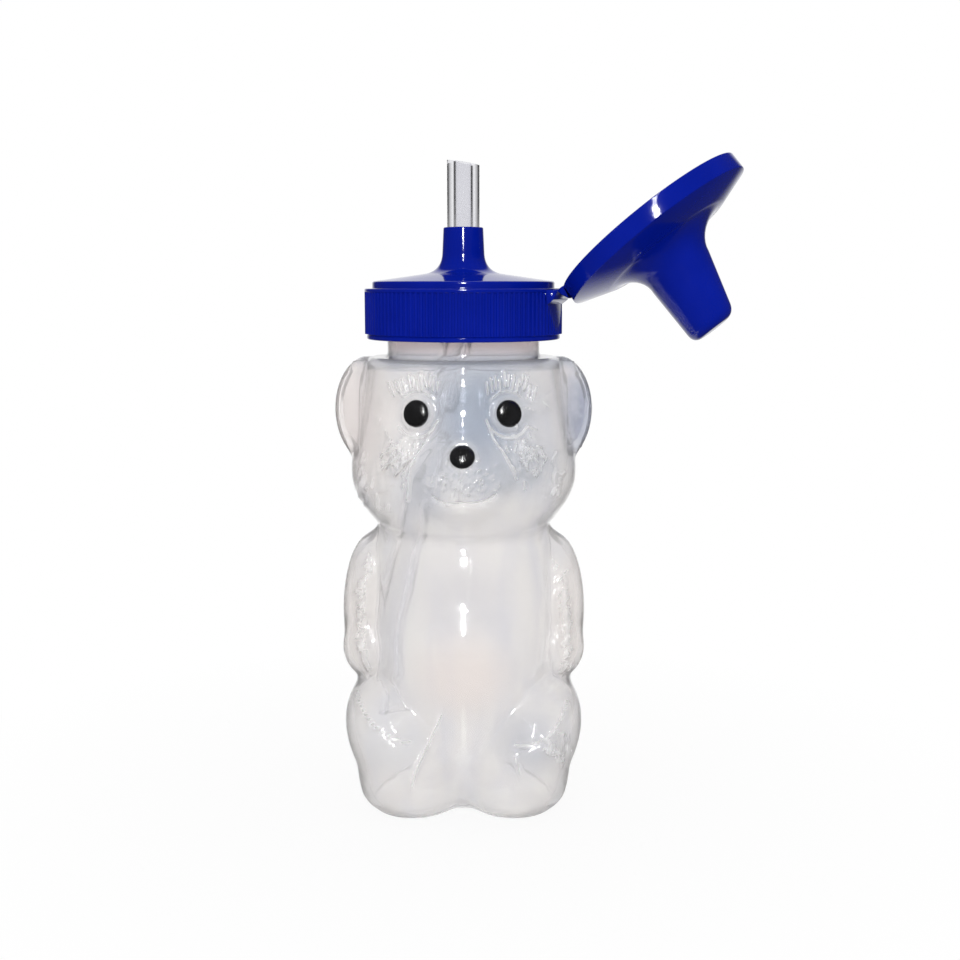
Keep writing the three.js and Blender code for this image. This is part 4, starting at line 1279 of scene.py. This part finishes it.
def white_studio(group):
    """White behind the cup, dim in front of it, and an even soft light on whatever is lit."""
    world = bpy.data.worlds.new("white_studio")
    world.use_nodes = True
    tree = world.node_tree
    path = tree.nodes.new("ShaderNodeLightPath").outputs
    place = add_node(tree, "ShaderNodeTexCoord").outputs["Generated"]
    reflected = white_behind(tree, group, place, WHITE_REFLECTED)
    level = mixed(tree, path["Is Glossy Ray"], ROOM_LEVEL, reflected)
    height = add_node(tree, "ShaderNodeSeparateXYZ", Vector=place).outputs["Z"]
    below = ranged(tree, height, HORIZON_SOFTNESS, 0.0)
    low = maths(tree, "MULTIPLY", below, white_behind(tree, group, place, WHITE_LOW, LOW_LEVEL))
    through = maths(tree, "MAXIMUM", white_behind(tree, group, place, WHITE_THROUGH), low)
    level = mixed(tree, path["Is Transmission Ray"], level, through)
    shown = maths(tree, "MAXIMUM", path["Is Camera Ray"], level)
    tree.links.new(shown, tree.nodes["Background"].inputs["Color"])
    bpy.context.scene.world = world


def pale_floor(group):
    """Floor that the lamps light, and that is mostly white to the camera, in mirrors and through glass."""
    material, tree, shader = new_material("pale_floor")
    set_shader(tree, shader, {"Base Color": (0.5, 0.5, 0.5, 1), "Roughness": 0.7, "Specular IOR Level": 0.2})
    path = tree.nodes.new("ShaderNodeLightPath").outputs
    place = object_place(tree)
    moved = add_node(tree, "ShaderNodeMapping", Vector=place, Location=(0, FLOOR_START * MM, 0))
    from_front = moved.outputs["Vector"]
    reflected = maths(tree, "SUBTRACT", path["Is Glossy Ray"], path["Is Transmission Ray"], clamp=True)
    level = mixed(tree, reflected, white_behind(tree, group, from_front, WHITE_LOW, LOW_LEVEL),
                  white_behind(tree, group, from_front, WHITE_REFLECTED))
    shown = maths(tree, "MAXIMUM", path["Is Camera Ray"], level)
    seen = maths(tree, "MAXIMUM", path["Is Glossy Ray"], path["Is Transmission Ray"])
    seen = maths(tree, "MAXIMUM", path["Is Camera Ray"], seen)
    near, far = (reach * MM for reach in SHADE_REACH)
    share = ranged(tree, vector_maths(tree, "LENGTH", place), near, far, *SHADE_SHARE)
    white = add_node(tree, "ShaderNodeEmission", Color=shown)
    mix = tree.nodes.new("ShaderNodeMixShader")
    tree.links.new(maths(tree, "MULTIPLY", share, seen), mix.inputs[0])
    tree.links.new(shader.outputs[0], mix.inputs[1])
    tree.links.new(white.outputs[0], mix.inputs[2])
    tree.links.new(mix.outputs[0], tree.nodes["Material Output"].inputs["Surface"])
    points = [(x, y, FLOOR_HEIGHT) for x, y in FLOOR_CORNERS]
    make_piece("pale_floor", points, [[0, 1, 2, 3]], material)


def soft_light(name, place, size, power):
    data = bpy.data.lights.new(name, "AREA")
    data.shape = "ELLIPSE"
    data.size, data.size_y = size
    data.energy = power
    obj = bpy.data.objects.new(name, data)
    bpy.context.scene.collection.objects.link(obj)
    obj.location = place
    obj.rotation_euler = (Vector(LAMP_AIM) - Vector(place)).to_track_quat("-Z", "Y").to_euler()


def photo_camera():
    data = bpy.data.cameras.new("camera")
    data.sensor_width = SENSOR_WIDTH
    data.lens = SENSOR_WIDTH * FOCAL_PIXELS / PHOTO_WIDTH
    data.clip_start = 0.01
    camera = bpy.data.objects.new("camera", data)
    bpy.context.scene.collection.objects.link(camera)
    back, up = CAMERA_DISTANCE * math.cos(CAMERA_PITCH), CAMERA_DISTANCE * math.sin(CAMERA_PITCH)
    camera.location = (CAMERA_ASIDE * MM, -back * MM, (CAMERA_AIM_HEIGHT + up) * MM)
    camera.rotation_euler = (math.pi / 2 - CAMERA_PITCH, 0, 0)
    bpy.context.scene.camera = camera


# The cup

photo_camera()
grain = moulded_grain()
milky = milky_plastic(grain)
blue = plain_finish("blue_gloss", grain, BLUE_GRAIN, IOR=1.49)
black = plain_finish("black_gloss", grain, BLACK_GRAIN, IOR=1.5, Coat_Weight=0.6, Coat_Roughness=0.04)
clear = clear_plastic(grain)
foam = plain_finish("white_liner", grain, FOAM_GRAIN)

bottle = bottle_shell(milky)
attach(bottle, "bottle")
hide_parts("bear_bottle")
for name, side in (("eye_right", -1), ("eye_left", 1)):
    eye = dome(f"{name}_dome", *eye_seat(side), EYE_RADIUS, EYE_DOME, black)
    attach(eye, "bottle")
    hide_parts(name)
nose = dome("nose_dome", *nose_seat(), NOSE_RADIUS, NOSE_DOME, black)
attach(nose, "bottle")
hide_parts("nose")

lid, ribs = lid_pieces(blue)
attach(lid, "lid")
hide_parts("lid")
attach(ribs, "lid")
liner = seal_ring(foam)
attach(liner, "seal")
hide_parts("lid_seal")
cap = flip_cap(blue)
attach(cap, "cap")
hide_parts("flip_cap")
strap = hinge_strap(blue)
fold_start, fold_end = turn_about_z([(r, 0, FOLD_HEIGHT) for r in FOLD_REACH], HINGE_AZIMUTH) * MM
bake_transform(strap)
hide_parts("hinge_strap_lid_half", "hinge_strap_cap_half")
straw = drinking_straw(clear)
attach(straw, "straw")
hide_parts("straw")

behind = white_side()
pale_floor(behind)
white_studio(behind)
for lamp in LAMPS:
    soft_light(*lamp)

scene = bpy.context.scene
scene.view_settings.view_transform = "Standard"
scene.cycles.use_denoising = True
